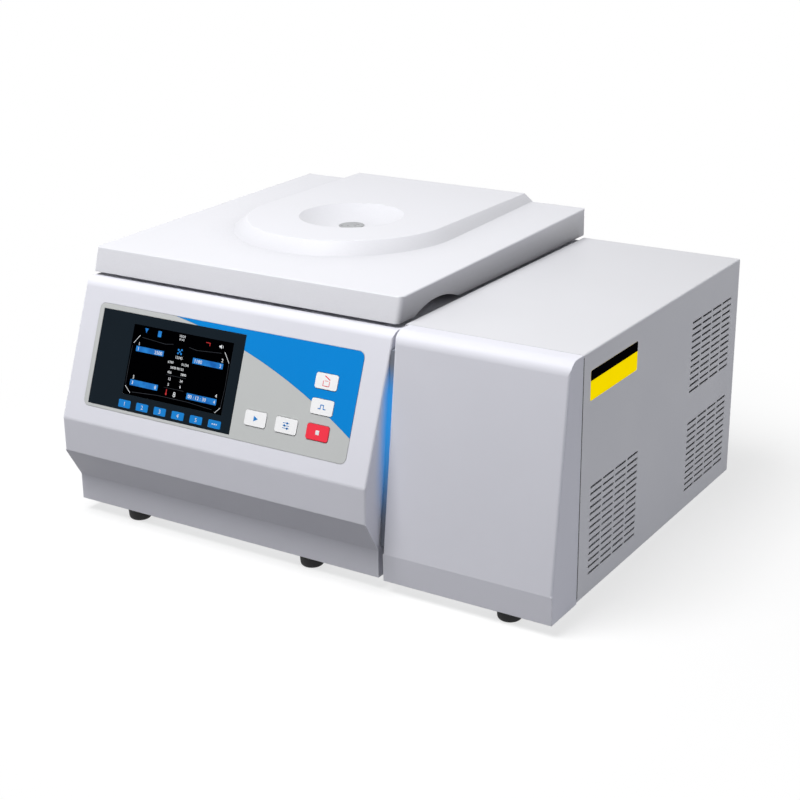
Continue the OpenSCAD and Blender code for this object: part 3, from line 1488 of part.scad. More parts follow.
// A swing-out bucket, hung by two grooved ears on its trunnion pins
module bucket(k) {
  slot = pin_r + run_gap;
  color("lightsteelblue") place() at_axis() rotate(90 * k) translate([pivot_r, 0, pivot_z])
    difference() {
      union() {
        rotate_extrude() {
          rounded([[0, -bucket_down], [bucket_r, -bucket_down], [bucket_r, bucket_up],
            [0, bucket_up]], [0, 8, 0, 0]);
          translate([0, bucket_up - 5]) square([bucket_r + bucket_rim, 5]);
        }
        box([-ear_half, 1 - ear_out, -14], [ear_half, ear_out - 1, 12]);
      }
      rotate_extrude() rounded([[0, bucket_floor_z], [bucket_r - bucket_t, bucket_floor_z],
        [bucket_r - bucket_t, bucket_up + over], [0, bucket_up + over]], [0, 5, 0, 0]);
      for (side = [0, 1]) mirror([0, side, 0]) {
        bar_y_at(0, pin_in - 0.4, ear_out + over, 0, slot);
        box([-slot, pin_in - 0.4, -20], [slot, ear_out + over, 0]);
      }
    }
}

// Bucket on the right of the rotor
module bucket_1() {
  bucket(0);
}

// Bucket at the back of the rotor
module bucket_2() {
  bucket(1);
}

// Bucket on the left of the rotor
module bucket_3() {
  bucket(2);
}

// Bucket at the front of the rotor
module bucket_4() {
  bucket(3);
}

// Fan wheel with pitched blades on the frame's axle
module fan_impeller() {
  reach = fan_w / 2 - 7;
  color("gray") place() translate([fan_x0, fan_y, fan_z]) difference() {
    union() {
      bar_x(5.6, fan_t - 3, 0, 0, fan_hub_r);
      for (k = [0:fan_blades - 1]) rotate([360 * k / fan_blades, 0, 0])
        translate([13.6, 0, fan_hub_r - 2]) rotate([0, 0, 40])
          box([-0.8, -12, 0], [0.8, 12, reach - fan_hub_r + 2]);
    }
    bar_x(0, fan_t, 0, 0, 2 + run_gap);
  }
}

// A key with its retaining lip behind the console wall
module key_cap(i) {
  place() {
    slope_slab(-shell_t - fit_gap, key_top) key_outline(key_at[i], 0);
    slope_slab(-shell_t - fit_gap - key_lip, -shell_t - fit_gap) key_outline(key_at[i], 2);
  }
}

// Key that opens the lid
module lid_key() {
  color("whitesmoke") key_cap(0);
}

// Key for a short run
module pulse_key() {
  color("whitesmoke") key_cap(1);
}

// Red key that stops a run
module stop_key() {
  color("crimson") key_cap(2);
}

// Key that starts a run
module start_key() {
  color("whitesmoke") key_cap(3);
}

// Key that confirms a setting
module set_key() {
  color("whitesmoke") key_cap(4);
}

base_plate();
rubber_feet();
front_console();
control_overlay();
blue_foil();
display_window();
lcd_module();
control_board();
top_deck();
left_side_panel();
right_inner_panel();
rear_panel();
rear_panel_screws();
bay_front_cover();
bay_cover();
accent_strip();
chamber_bowl();
chamber_gasket();
insulation_jacket();
evaporator_coil();
motor_housing();
motor_bracket();
motor_dampers();
shaft_seal();
shaft_bearings();
compressor();
compressor_mounts();
condenser();
fan_frame();
filter_drier();
refrigerant_pipes();
power_electronics();
mains_inlet();
hinge_body_leaves();
hinge_pins();
latch_brackets();
latch_motor();
lid_shell();
lid_liner();
sight_window();
lid_strikers();
hinge_lid_leaves();
lid_liner_screws();
drive_shaft();
motor_core();
rotor_cross();
trunnion_pins();
rotor_nut();
bucket_1();
bucket_2();
bucket_3();
bucket_4();
fan_impeller();
power_rocker();
latch_shaft();
lid_key();
pulse_key();
stop_key();
start_key();
set_key();
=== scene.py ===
# %% [markdown]
# # A benchtop laboratory centrifuge
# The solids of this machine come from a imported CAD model, at their real size and in metres. This
# lesson dresses them: it sets up a small studio, gives every solid a finish, and adds the thin
# things that solids are poor at, such as the print on the control panel. The front of the machine
# looks along -Y, the cooling bay stands on the +X side, and the bench is at height zero.

# %% Load the solids
import json
import math

import bmesh
import bpy
from mathutils import Matrix, Vector


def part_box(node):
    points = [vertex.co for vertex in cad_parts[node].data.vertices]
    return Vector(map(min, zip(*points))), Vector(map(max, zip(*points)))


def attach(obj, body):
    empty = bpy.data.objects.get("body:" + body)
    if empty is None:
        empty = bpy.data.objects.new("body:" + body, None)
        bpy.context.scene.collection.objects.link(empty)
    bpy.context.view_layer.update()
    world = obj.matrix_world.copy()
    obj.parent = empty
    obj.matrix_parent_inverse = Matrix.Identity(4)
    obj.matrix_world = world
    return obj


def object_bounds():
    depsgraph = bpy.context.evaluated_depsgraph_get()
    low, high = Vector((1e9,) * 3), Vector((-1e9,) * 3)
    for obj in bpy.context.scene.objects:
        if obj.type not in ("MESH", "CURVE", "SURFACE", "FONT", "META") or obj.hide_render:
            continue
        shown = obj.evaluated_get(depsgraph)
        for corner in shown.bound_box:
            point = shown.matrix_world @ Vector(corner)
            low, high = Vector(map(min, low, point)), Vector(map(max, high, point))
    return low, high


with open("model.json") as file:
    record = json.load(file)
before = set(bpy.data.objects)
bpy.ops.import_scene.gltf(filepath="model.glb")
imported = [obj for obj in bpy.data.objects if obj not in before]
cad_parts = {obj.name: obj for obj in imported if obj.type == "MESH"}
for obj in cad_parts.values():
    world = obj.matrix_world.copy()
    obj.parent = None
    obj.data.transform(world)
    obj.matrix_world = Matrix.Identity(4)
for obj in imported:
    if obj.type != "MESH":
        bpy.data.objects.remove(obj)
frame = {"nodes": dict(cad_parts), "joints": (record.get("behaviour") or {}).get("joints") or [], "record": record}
cad_low, cad_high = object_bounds()
solids = frame["nodes"]
size = cad_high - cad_low
print(f"{len(solids)} solids, {size.x:.3f} by {size.y:.3f} by {size.z:.3f} m")

# %% [markdown]
# ## Camera
# The camera stands to the right of the front and looks slightly down. A constraint could aim it at
# the machine, but would keep it level, and this picture leans by half a degree. So the axes of the
# camera are built by hand: `back` points out of the scene, `picture_right` runs across the picture,
# and the third axis stands upright on these two.

# %% Place the camera
CAMERA_PLACE = Vector((1.0387, -1.6648, 0.8488))
CAMERA_AZIMUTH = math.radians(32.254)
CAMERA_ELEVATION = math.radians(19.981)
CAMERA_ROLL = math.radians(-0.566)
LENS_MM = 72.62
SENSOR_MM = 36.0


def put(name, data):
    """A new object in the scene that shows data."""
    made = bpy.data.objects.new(name, data)
    bpy.context.scene.collection.objects.link(made)
    return made


def direction(azimuth, elevation):
    """Unit vector towards a place round the machine; azimuth 0 is straight in front of it."""
    level = math.cos(elevation)
    return Vector((math.sin(azimuth) * level, -math.cos(azimuth) * level, math.sin(elevation)))


def axes_to_matrix(right, up, out, place):
    """A transform whose columns are three axes and a place."""
    matrix = Matrix((right, up, out)).transposed().to_4x4()
    matrix.translation = place
    return matrix


back = direction(CAMERA_AZIMUTH, CAMERA_ELEVATION)
level_right = Vector((math.cos(CAMERA_AZIMUTH), math.sin(CAMERA_AZIMUTH), 0))
level_up = back.cross(level_right)
picture_right = math.cos(CAMERA_ROLL) * level_right + math.sin(CAMERA_ROLL) * level_up
camera_data = bpy.data.cameras.new("studio_camera")
camera_data.lens = LENS_MM
camera_data.sensor_width = SENSOR_MM
camera = put("studio_camera", camera_data)
camera.matrix_world = axes_to_matrix(picture_right, back.cross(picture_right), back, CAMERA_PLACE)
bpy.context.scene.camera = camera
print(f"camera {CAMERA_PLACE.length:.2f} m from the machine's foot")

# %% [markdown]
# ## Lamps
# The machine is pale, so it needs a soft light that still tells its sides apart. One bright sky
# would make every side the same white. Here a large softbox stands high in front and a little to
# the left. It lights the tops most and the upright faces less, and leaves the plinth in the shade
# of the band above it. Three low strip lamps, the right one a little cooler than the others, light
# the right side, the left side and the back. They stand no higher than the body, so they reach its
# sides and leave the tops alone.

# %% Light the studio
bpy.context.scene.view_settings.view_transform = "Standard"
LOW_STRIP = {"elevation": 0, "distance": 1.4, "width": 1.6}
COOL_TINT = (0.9, 0.92, 1.0)


def softbox(name, azimuth, watts, aim, elevation, distance, width, height, tint=(1, 1, 1)):
    """A rectangular area lamp that faces the point aim."""
    lamp = bpy.data.lights.new(name, "AREA")
    lamp.shape = "RECTANGLE"
    lamp.size = width
    lamp.size_y = height
    lamp.energy = watts
    lamp.color = tint
    holder = put(name, lamp)
    towards = direction(math.radians(azimuth), math.radians(elevation))
    holder.location = Vector(aim) + towards * distance
    holder.rotation_mode = "QUATERNION"
    holder.rotation_quaternion = (-towards).to_track_quat("-Z", "Y")
    print(f"{name}: {watts} W at {distance} m")


softbox("key_softbox", -18, 66, (0, 0, 0.15), elevation=64, distance=2.6, width=1.3, height=1.3)
softbox("right_strip", 88, 4.9, (0.34, 0, 0.1), height=0.2, tint=COOL_TINT, **LOW_STRIP)
softbox("left_strip", -90, 4, (-0.34, 0, 0.14), height=0.24, **LOW_STRIP)
softbox("back_strip", 180, 5, (0, 0.28, 0.14), height=0.24, **LOW_STRIP)

# %% [markdown]
# ## Air
# The world round the machine has two jobs. Its faint, slightly cool light comes from all sides, so
# that no corner is black. And where the camera, a reflection or a clear solid looks at it, it is
# plain white. More light could make it white too, but would wash out the machine. A Light Path node
# tells the two jobs apart instead.

# %% Fill the air
AIR_STRENGTH = 0.2
AIR_TINT = (0.95, 0.97, 1.0, 1.0)
WHITE = (1.0, 1.0, 1.0, 1.0)


def add(tree, kind, values=None, links=None, **settings):
    """A node with its settings, socket values and incoming links."""
    node = tree.nodes.new(kind)
    for name, value in settings.items():
        setattr(node, name, value)
    for socket, value in (values or {}).items():
        node.inputs[socket].default_value = value
    for socket, source in (links or {}).items():
        tree.links.new(source, node.inputs[socket])
    return node


def is_seen(tree):
    """A socket that is 1 where a ray comes from the camera, a reflection or through glass."""
    rays = add(tree, "ShaderNodeLightPath").outputs
    seen = rays["Is Camera Ray"]
    for kind in ("Is Glossy Ray", "Is Transmission Ray"):
        either = add(tree, "ShaderNodeMath", links={0: seen, 1: rays[kind]}, operation="MAXIMUM")
        seen = either.outputs[0]
    return seen


def mix_shaders(tree, share, first, second):
    """A shader that is first where share is 0 and second where it is 1."""
    sources = {0: share, 1: first.outputs[0], 2: second.outputs[0]}
    return add(tree, "ShaderNodeMixShader", links=sources)


world = bpy.data.worlds.new("studio_air")
bpy.context.scene.world = world
world.use_nodes = True
air = world.node_tree
air_light = air.nodes["Background"]
air_light.inputs["Color"].default_value = AIR_TINT
air_light.inputs["Strength"].default_value = AIR_STRENGTH
air_seen = add(air, "ShaderNodeBackground", {"Color": WHITE, "Strength": 1.0})
air_all = mix_shaders(air, is_seen(air), air_light, air_seen)
air.links.new(air_all.outputs[0], air.nodes["World Output"].inputs["Surface"])
print(f"air lights with strength {AIR_STRENGTH} and looks white")

# %% [markdown]
# ## Floor
# A seamless white floor is two things at once. Close to the machine it is a matt surface that takes
# the shadow. Further away it turns into plain white, so that no horizon shows. The change is a
# smooth function of the distance from the middle. Light that bounces off the floor sees a darker
# paint, because a white floor would light the undersides and flatten the form.

# %% Lay the floor
FLOOR_HALF = 6.0
SHADOW_REACH = 0.42
WHITE_REACH = 0.8
NEAR_LIFT = 0.69


def ramp(tree, value, start, end):
    """A socket that goes smoothly from 0 where value is start to 1 where it is end."""
    node = add(
        tree,
        "ShaderNodeMapRange",
        {"From Min": start, "From Max": end},
        {"Value": value},
        interpolation_type="SMOOTHSTEP",
    )
    return node.outputs[0]


floor_mesh = bpy.data.meshes.new("studio_floor")
floor_corners = [(x * FLOOR_HALF, y * FLOOR_HALF, 0.0) for x, y in ((-1, -1), (1, -1), (1, 1), (-1, 1))]
floor_mesh.from_pydata(floor_corners, [], [(0, 1, 2, 3)])
studio_floor = put("studio_floor", floor_mesh)
floor_paint = bpy.data.materials.new("studio_floor_paint")
floor_paint.use_nodes = True
paint = floor_paint.node_tree
paint.nodes.remove(paint.nodes["Principled BSDF"])
floor_dull = add(paint, "ShaderNodeBsdfDiffuse", {"Color": (0.2, 0.2, 0.21, 1.0)})
floor_matt = add(paint, "ShaderNodeBsdfDiffuse", {"Color": (0.32, 0.32, 0.32, 1.0)})
floor_lift = add(paint, "ShaderNodeEmission", {"Strength": NEAR_LIFT})
floor_near = add(paint, "ShaderNodeAddShader", links={0: floor_matt.outputs[0], 1: floor_lift.outputs[0]})
floor_far = add(paint, "ShaderNodeEmission", {"Strength": 1.0})
floor_place = add(paint, "ShaderNodeNewGeometry").outputs["Position"]
from_middle = add(paint, "ShaderNodeVectorMath", links={0: floor_place}, operation="LENGTH")
floor_fade = ramp(paint, from_middle.outputs["Value"], SHADOW_REACH, WHITE_REACH)
floor_seen = mix_shaders(paint, floor_fade, floor_near, floor_far)
floor_all = mix_shaders(paint, is_seen(paint), floor_dull, floor_seen)
paint.links.new(floor_all.outputs[0], paint.nodes["Material Output"].inputs["Surface"])
floor_mesh.materials.append(floor_paint)
print(f"floor {2 * FLOOR_HALF:.0f} m wide")

# %% [markdown]
# ## Grain and mottle
# Moulded plastic and powder coat are never quite even. They have a fine grain, which shows as tiny
# bumps, and broad patches that are a little lighter or duller. An image could hold both, but would
# have to be unwrapped onto every solid. Noise in the part's own coordinates needs no unwrapping and
# goes along when the part moves. Most finishes use it, so it is a node group with its own sockets.


# %% Build the grain group
def new_group(name, inputs, outputs):
    """An empty shader group with float sockets, except those named Normal."""
    group = bpy.data.node_groups.new(name, "ShaderNodeTree")
    for socket, value in inputs.items():
        made = group.interface.new_socket(socket, in_out="INPUT", socket_type="NodeSocketFloat")
        made.default_value = value
    for socket in outputs:
        kind = "NodeSocketVector" if socket == "Normal" else "NodeSocketFloat"
        group.interface.new_socket(socket, in_out="OUTPUT", socket_type=kind)
    start = group.nodes.new("NodeGroupInput")
    end = group.nodes.new("NodeGroupOutput")
    return group, start, end


def make_surface_grain():
    """A group that puts out a fine grain and a broad mottle."""
    group, start, end = new_group(
        "surface_grain", {"Grain Scale": 900.0, "Mottle Scale": 9.0}, ["Grain", "Mottle"]
    )
    place = add(group, "ShaderNodeTexCoord").outputs["Object"]
    fine = add(
        group,
        "ShaderNodeTexNoise",
        {"Detail": 3.0, "Roughness": 0.6},
        {"Vector": place, "Scale": start.outputs["Grain Scale"]},
    )
    broad = add(
        group,
        "ShaderNodeTexNoise",
        {"Detail": 4.0, "Roughness": 0.55},
        {"Vector": place, "Scale": start.outputs["Mottle Scale"]},
    )
    group.links.new(fine.outputs[0], end.inputs["Grain"])
    group.links.new(broad.outputs[0], end.inputs["Mottle"])
    return group


surface_grain = make_surface_grain()
print(f"{surface_grain.name}: {len(surface_grain.nodes)} nodes")

# %% [markdown]
# ## Brushed lines
# A belt or a lathe leaves scratches in bare metal that all run one way. Real grooves would cost far
# too many faces. Noise that is stretched along an axis looks the same, and the scale along each of
# the three axes says which way the scratches run.


# %% Build the brushed group
def make_brushed_lines():
    """A group that puts out scratches along the axes with small scales, and a mottle."""
    group, start, end = new_group(
        "brushed_lines", {"Along X": 6.0, "Along Y": 6.0, "Along Z": 900.0}, ["Lines", "Mottle"]
    )
    place = add(group, "ShaderNodeTexCoord").outputs["Object"]
    scales = {axis: start.outputs["Along " + axis] for axis in "XYZ"}
    scale = add(group, "ShaderNodeCombineXYZ", links=scales)
    stretched = add(
        group,
        "ShaderNodeVectorMath",
        links={0: place, 1: scale.outputs[0]},
        operation="MULTIPLY",
    )
    lines = add(
        group, "ShaderNodeTexNoise", {"Scale": 1.0, "Detail": 3.0}, {"Vector": stretched.outputs[0]}
    )
    broad = add(group, "ShaderNodeTexNoise", {"Scale": 14.0, "Detail": 3.0}, {"Vector": place})
    group.links.new(lines.outputs[0], end.inputs["Lines"])
    group.links.new(broad.outputs[0], end.inputs["Mottle"])
    return group


brushed_lines = make_brushed_lines()
print(f"{brushed_lines.name}: {len(brushed_lines.nodes)} nodes")

# %% [markdown]
# ## Soft edges
# No real edge is sharp: a moulded one is slightly round, and hands and cloths rub it. A bevel in
# the mesh would show that, but the solids stay as the CAD model has them. The Bevel node rounds
# only the shading. Where its normal differs from the true one there is an edge, so the difference
# is also the mask for rubbed paint.


# %% Build the edge group
def make_soft_edges():
    """A group that puts out a rounded normal and a mask that is 1 on edges."""
    group, start, end = new_group("soft_edges", {"Reach": 0.0008}, ["Normal", "Edge"])
    bevel = add(group, "ShaderNodeBevel", links={"Radius": start.outputs["Reach"]}, samples=4)
    true_normal = add(group, "ShaderNodeNewGeometry").outputs["Normal"]
    likeness = add(
        group,
        "ShaderNodeVectorMath",
        links={0: bevel.outputs[0], 1: true_normal},
        operation="DOT_PRODUCT",
    )
    mask = add(
        group,
        "ShaderNodeMapRange",
        {"From Min": 1.0, "From Max": 0.75, "To Min": 0.0, "To Max": 1.0},
        {"Value": likeness.outputs["Value"]},
    )
    group.links.new(bevel.outputs[0], end.inputs["Normal"])
    group.links.new(mask.outputs[0], end.inputs["Edge"])
    return group


soft_edges = make_soft_edges()
print(f"{soft_edges.name}: {len(soft_edges.nodes)} nodes")

# %% [markdown]
# ## Creases
# At the foot of a step, in a hollow and where a part stands close to another, less light gets in, so a white
# moulding looks a little greyer there. This group paints that shade into the colour. Painting it by hand would tie
# it to one shape. The Ambient Occlusion node feels how much of the surroundings is hidden within a reach of some
# centimetres, and `Depth` says how fast that turns into painted shade.


# %% Build the crease group
def make_crease_shade():
    """A group that puts out a painted-shade mask that is 1 in deep creases and close to other parts."""
    group, start, end = new_group("crease_shade", {"Reach": 0.055, "Depth": 1.0}, ["Shade"])
    reach = {"Distance": start.outputs["Reach"]}
    open_sky = add(group, "ShaderNodeAmbientOcclusion", links=reach, samples=8).outputs["AO"]
    hidden = add(group, "ShaderNodeMath", {0: 1.0}, {1: open_sky}, operation="SUBTRACT")
    shade = add(
        group,
        "ShaderNodeMath",
        links={0: hidden.outputs[0], 1: start.outputs["Depth"]},
        operation="MULTIPLY",
        use_clamp=True,
    )
    group.links.new(shade.outputs[0], end.inputs["Shade"])
    return group


crease_shade = make_crease_shade()
print(f"{crease_shade.name}: {len(crease_shade.nodes)} nodes")

# %% [markdown]
# ## Colours
# Blender's sockets take linear light, in which a mid grey is about a fifth and not a half. People
# pick colours as they look on a screen, so the machine's colours are written that way, from 0 to
# 255, and turned into linear light where they are used. Two more helpers stretch a noise to a
# wanted range and mix two colours by a mask.

# %% Define the colour helpers
NOISE_LOW = 0.3
NOISE_HIGH = 0.7


def linear(colour, factor=1.0):
    """Linear RGBA of a colour given as three screen values from 0 to 255."""
    shares = [value / 255 for value in colour]
    light = [s / 12.92 if s <= 0.04045 else ((s + 0.055) / 1.055) ** 2.4 for s in shares]
    return (*[min(1.0, value * factor) for value in light], 1.0)


def new_material(name):
    """A material, its node tree and its shader."""
    material = bpy.data.materials.new(name)
    material.use_nodes = True
    return material, material.node_tree, material.node_tree.nodes["Principled BSDF"]


def group_node(tree, group, values):
    """A shared group, placed in a material with its own values."""
    return add(tree, "ShaderNodeGroup", values, node_tree=group)


def ranged(tree, source, low, high):
    """A socket that follows a noise between two values."""
    node = add(
        tree,
        "ShaderNodeMapRange",
        {"From Min": NOISE_LOW, "From Max": NOISE_HIGH, "To Min": low, "To Max": high},
        {"Value": source},
    )
    return node.outputs[0]


def mixed(tree, factor, first, second):
    """A colour between two, each a socket or a plain colour."""
    node = add(tree, "ShaderNodeMix", data_type="RGBA")
    tree.links.new(factor, node.inputs["Factor"])
    for name, colour in (("A", first), ("B", second)):
        socket = next(s for s in node.inputs if s.name == name and s.type == "RGBA")
        if isinstance(colour, tuple):
            socket.default_value = colour
        else:
            tree.links.new(colour, socket)
    return next(s for s in node.outputs if s.type == "RGBA")


print(f"screen grey 128 is {linear((128, 128, 128))[0]:.3f} in linear light")

# %% [markdown]
# ## A finish from a few numbers
# Most finishes differ only in colour, gloss and grain, so one function builds them all. The mottle
# moves the colour and the gloss a little, the grain or the brushed lines feed the bump, and rubbed
# edges blend towards a lighter colour. What is the same all over a surface, such as how metallic it
# is, goes straight onto the shader.

# %% Define the finish builder
GLOSS_DRIFT = 0.15
EDGE_WEAR = 0.25
RUBBED_LIGHT = 1.25
CREASE_SHADE_DARK = 0.5
BUMP_STRENGTH = 0.5


def finish(
    name,
    colour,
    gloss,
    metal=0.0,
    drift=0.06,
    grain=900.0,
    depth=0.00002,
    mottle=9.0,
    lines=None,
    shine=0.5,
    crease=0.0,
):
    """A material from a screen colour, a roughness, and how much they drift over the surface."""
    material, tree, shader = new_material(name)
    if lines is None:
        pattern = group_node(tree, surface_grain, {"Grain Scale": grain, "Mottle Scale": mottle})
        height = pattern.outputs["Grain"]
        rough_source = pattern.outputs["Mottle"]
    else:
        along = {"Along " + axis: value for axis, value in zip("XYZ", lines)}
        pattern = group_node(tree, brushed_lines, along)
        height = pattern.outputs["Lines"]
        rough_source = height
    edges = group_node(tree, soft_edges, {})
    share = ranged(tree, pattern.outputs["Mottle"], 0.0, 1.0)
    body = mixed(tree, share, linear(colour, 1 - drift), linear(colour, 1 + drift))
    # Painted shade: the colour darkens where the crease group finds the surroundings hidden.
    if crease > 0:
        painted_crease_shade = group_node(tree, crease_shade, {"Depth": crease})
        body = mixed(tree, painted_crease_shade.outputs["Shade"], body, linear(colour, CREASE_SHADE_DARK))
    worn = add(tree, "ShaderNodeMath", {1: EDGE_WEAR}, {0: edges.outputs["Edge"]}, operation="MULTIPLY")
    rubbed = mixed(tree, worn.outputs[0], body, linear(colour, RUBBED_LIGHT))
    tree.links.new(rubbed, shader.inputs["Base Color"])
    rough = ranged(tree, rough_source, gloss * (1 - GLOSS_DRIFT), gloss * (1 + GLOSS_DRIFT))
    tree.links.new(rough, shader.inputs["Roughness"])
    bump = add(
        tree,
        "ShaderNodeBump",
        {"Strength": BUMP_STRENGTH, "Distance": depth},
        {"Height": height, "Normal": edges.outputs["Normal"]},
    )
    tree.links.new(bump.outputs[0], shader.inputs["Normal"])
    shader.inputs["Metallic"].default_value = metal
    shader.inputs["Specular IOR Level"].default_value = shine
    return material


print(f"finish builder ready: rubbed edges are up to {EDGE_WEAR * (RUBBED_LIGHT - 1):.0%} lighter")

# %% [markdown]
# ## Finishes of the outside
# The lid is a smooth white moulding. The console and the front of the bay are a pale grey moulding
# with a fine spark-eroded grain, and the sheet metal has a powder coat with a coarser texture like
# orange peel. Window and screen are nearly without shine, because a softbox would grey them. Each
# finish has the name of its slot in the record, so that it finds its solids by that name.

# %% Mix the outside finishes
outside = {
    # lid_white gets painted shade in its creases and where it stands close to the bay.
    "lid_white": dict(colour=(227, 227, 232), gloss=0.4, drift=0.01, depth=0.00001, shine=0.3, crease=2.4),
    "console_grey": dict(colour=(231, 231, 239), gloss=0.46, drift=0.012, grain=1400, shine=0.25),
    "deck_grey": dict(colour=(226, 226, 232), gloss=0.5, drift=0.012, grain=1400),
    "panel_grey": dict(colour=(221, 221, 225), gloss=0.52, drift=0.015, grain=1100, depth=0.00005),
    "rubber_black": dict(colour=(26, 26, 27), gloss=0.75, drift=0.2, grain=1800, depth=0.00005),
    "overlay_grey": dict(colour=(198, 200, 199), gloss=0.42, drift=0.01, grain=2600),
    "blue_print": dict(colour=(0, 138, 221), gloss=0.4, drift=0.015, grain=2600, shine=0.15),
    "window_dark": dict(colour=(18, 28, 36), gloss=0.4, drift=0.06, depth=0.000004, shine=0.05),
    "screen_black": dict(colour=(1, 1, 2), gloss=0.4, drift=0.1, depth=0.000003, shine=0.0),
    "screw_steel": dict(colour=(190, 191, 194), gloss=0.3, metal=1.0, mottle=120),
    "inlet_black": dict(colour=(24, 24, 26), gloss=0.45, drift=0.1, grain=1600, depth=0.00004),
    "hinge_steel": dict(colour=(178, 180, 184), gloss=0.34, metal=1.0, mottle=45),
    "sight_grey": dict(colour=(150, 152, 154), gloss=0.3, drift=0.05, mottle=80),
    "key_white": dict(colour=(254, 254, 255), gloss=0.4, drift=0.005, grain=2400),
    "key_red": dict(colour=(250, 44, 68), gloss=0.4, drift=0.03, grain=2400),
    "blue_accent": dict(colour=(120, 124, 134), gloss=0.4, drift=0.05, shine=0.2),
}
finishes = {slot: finish(slot, **look) for slot, look in outside.items()}
print(f"{len(finishes)} finishes for the outside")

# %% [markdown]
# ## Finishes of the inside
# Under the lid and behind the panels are bare, plated and brushed metals, foam, paint and plastics.
# The spun bowl, the buckets and the stacked motor core get level lines, and shafts, pins and fins
# upright ones. A metal's colour is the colour of its reflection, so bright metals are nearly white.

# %% Mix the inside finishes and give every solid its own
inside = {
    "zinc_sheet": dict(colour=(176, 180, 184), gloss=0.38, metal=0.9, drift=0.1, mottle=30),
    "board_green": dict(colour=(20, 96, 52), gloss=0.4, drift=0.1, mottle=60),
    "stainless": dict(colour=(198, 200, 203), gloss=0.28, metal=1.0, lines=(5, 5, 1100)),
    "foam": dict(colour=(222, 206, 150), gloss=0.85, drift=0.1, grain=500, depth=0.0004),
    "copper": dict(colour=(201, 124, 84), gloss=0.28, metal=1.0, drift=0.12, mottle=40),
    "motor_grey": dict(colour=(84, 89, 94), gloss=0.42, drift=0.06),
    "bright_steel": dict(colour=(204, 205, 208), gloss=0.22, metal=1.0, lines=(900, 900, 8)),
    "core_steel": dict(colour=(120, 121, 124), gloss=0.45, metal=0.9, lines=(4, 4, 2000)),
    "compressor_black": dict(colour=(22, 22, 23), gloss=0.34, drift=0.1, mottle=20),
    "fin_aluminium": dict(colour=(206, 209, 213), gloss=0.3, metal=1.0, lines=(900, 900, 12)),
    "fan_black": dict(colour=(30, 30, 32), gloss=0.5, drift=0.1),
    "case_grey": dict(colour=(128, 131, 134), gloss=0.4, metal=0.8, lines=(8, 900, 900)),
    "liner_grey": dict(colour=(214, 216, 220), gloss=0.5, drift=0.02, grain=1100, depth=0.00004),
    "rotor_aluminium": dict(colour=(206, 207, 211), gloss=0.3, metal=1.0, lines=(600, 600, 600)),
    "nut_black": dict(colour=(34, 34, 37), gloss=0.4, drift=0.1),
}
finishes.update({slot: finish(slot, **look) for slot, look in inside.items()})
slot_of = {part["node"]: part["material_slot"] for part in frame["record"]["subparts"]}
for node, solid in solids.items():
    solid.data.materials.clear()
    solid.data.materials.append(finishes[slot_of[node]])
print(f"{len(finishes)} finishes on {len(solids)} solids")

# %% [markdown]
# ## The lit strip
# A strip of light lies in the gap between console and bay. It is brightest above its middle and
# fades towards both ends. A row of small lamps could stand in the gap, but lamps don't go along with
# the model into other scenes. So the strip itself gives light, by a mask of two smooth ramps, a rise
# and a fall along its height. Where the mask is 1, the paint gives way to the light.

# %% Light the strip
LIT_RISE = (0.08, 0.68)
LIT_FALL = (0.95, 0.76)
LIT_PAINT = (6, 16, 28)
LIT_BLUE = (42, 138, 214)
UNLIT = (0.0, 0.0, 0.0, 1.0)
strip_low, strip_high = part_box("accent_strip")


def product(tree, first, *others):
    """A socket that multiplies sockets."""
    for other in others:
        first = add(tree, "ShaderNodeMath", links={0: first, 1: other}, operation="MULTIPLY").outputs[0]
    return first


def part_axes(tree):
    """Sockets for the place on the part along X, Y and Z."""
    place = add(tree, "ShaderNodeTexCoord").outputs["Object"]
    return add(tree, "ShaderNodeSeparateXYZ", links={0: place}).outputs


def lit_height(tree, height):
    """A mask along the strip's height, from shares of that height."""
    tall = strip_high[2] - strip_low[2]
    rise = ramp(tree, height, *[strip_low[2] + share * tall for share in LIT_RISE])
    fall = ramp(tree, height, *[strip_low[2] + share * tall for share in LIT_FALL])
    return product(tree, rise, fall)


def shine_through(material, mask):
    """Blends a paint into blue light where mask is 1."""
    tree = material.node_tree
    shader = tree.nodes["Principled BSDF"]
    paint_colour = shader.inputs["Base Color"].links[0].from_socket
    dimmed = mixed(tree, mask, paint_colour, linear(LIT_PAINT))
    tree.links.new(dimmed, shader.inputs["Base Color"])
    light = mixed(tree, mask, UNLIT, linear(LIT_BLUE))
    tree.links.new(light, shader.inputs["Emission Color"])
    shader.inputs["Emission Strength"].default_value = 1.0


strip_tree = finishes["blue_accent"].node_tree
shine_through(finishes["blue_accent"], lit_height(strip_tree, part_axes(strip_tree)["Z"]))
print(f"lit strip from {strip_low[2]:.3f} to {strip_high[2]:.3f} m")

# %% [markdown]
# ## Light on the console's side
# The strip's light spills onto the side of the console beside it. Light that bounces off so small a
# strip takes many samples to render, so the spill is a mask as well. It follows the strip's height,
# grows towards the strip, which leans back with the front of the bay, and keeps to the skin of the
# console's right side. The bay's front has the same finish, so one more ramp ends the spill before
# the far edge of the strip.

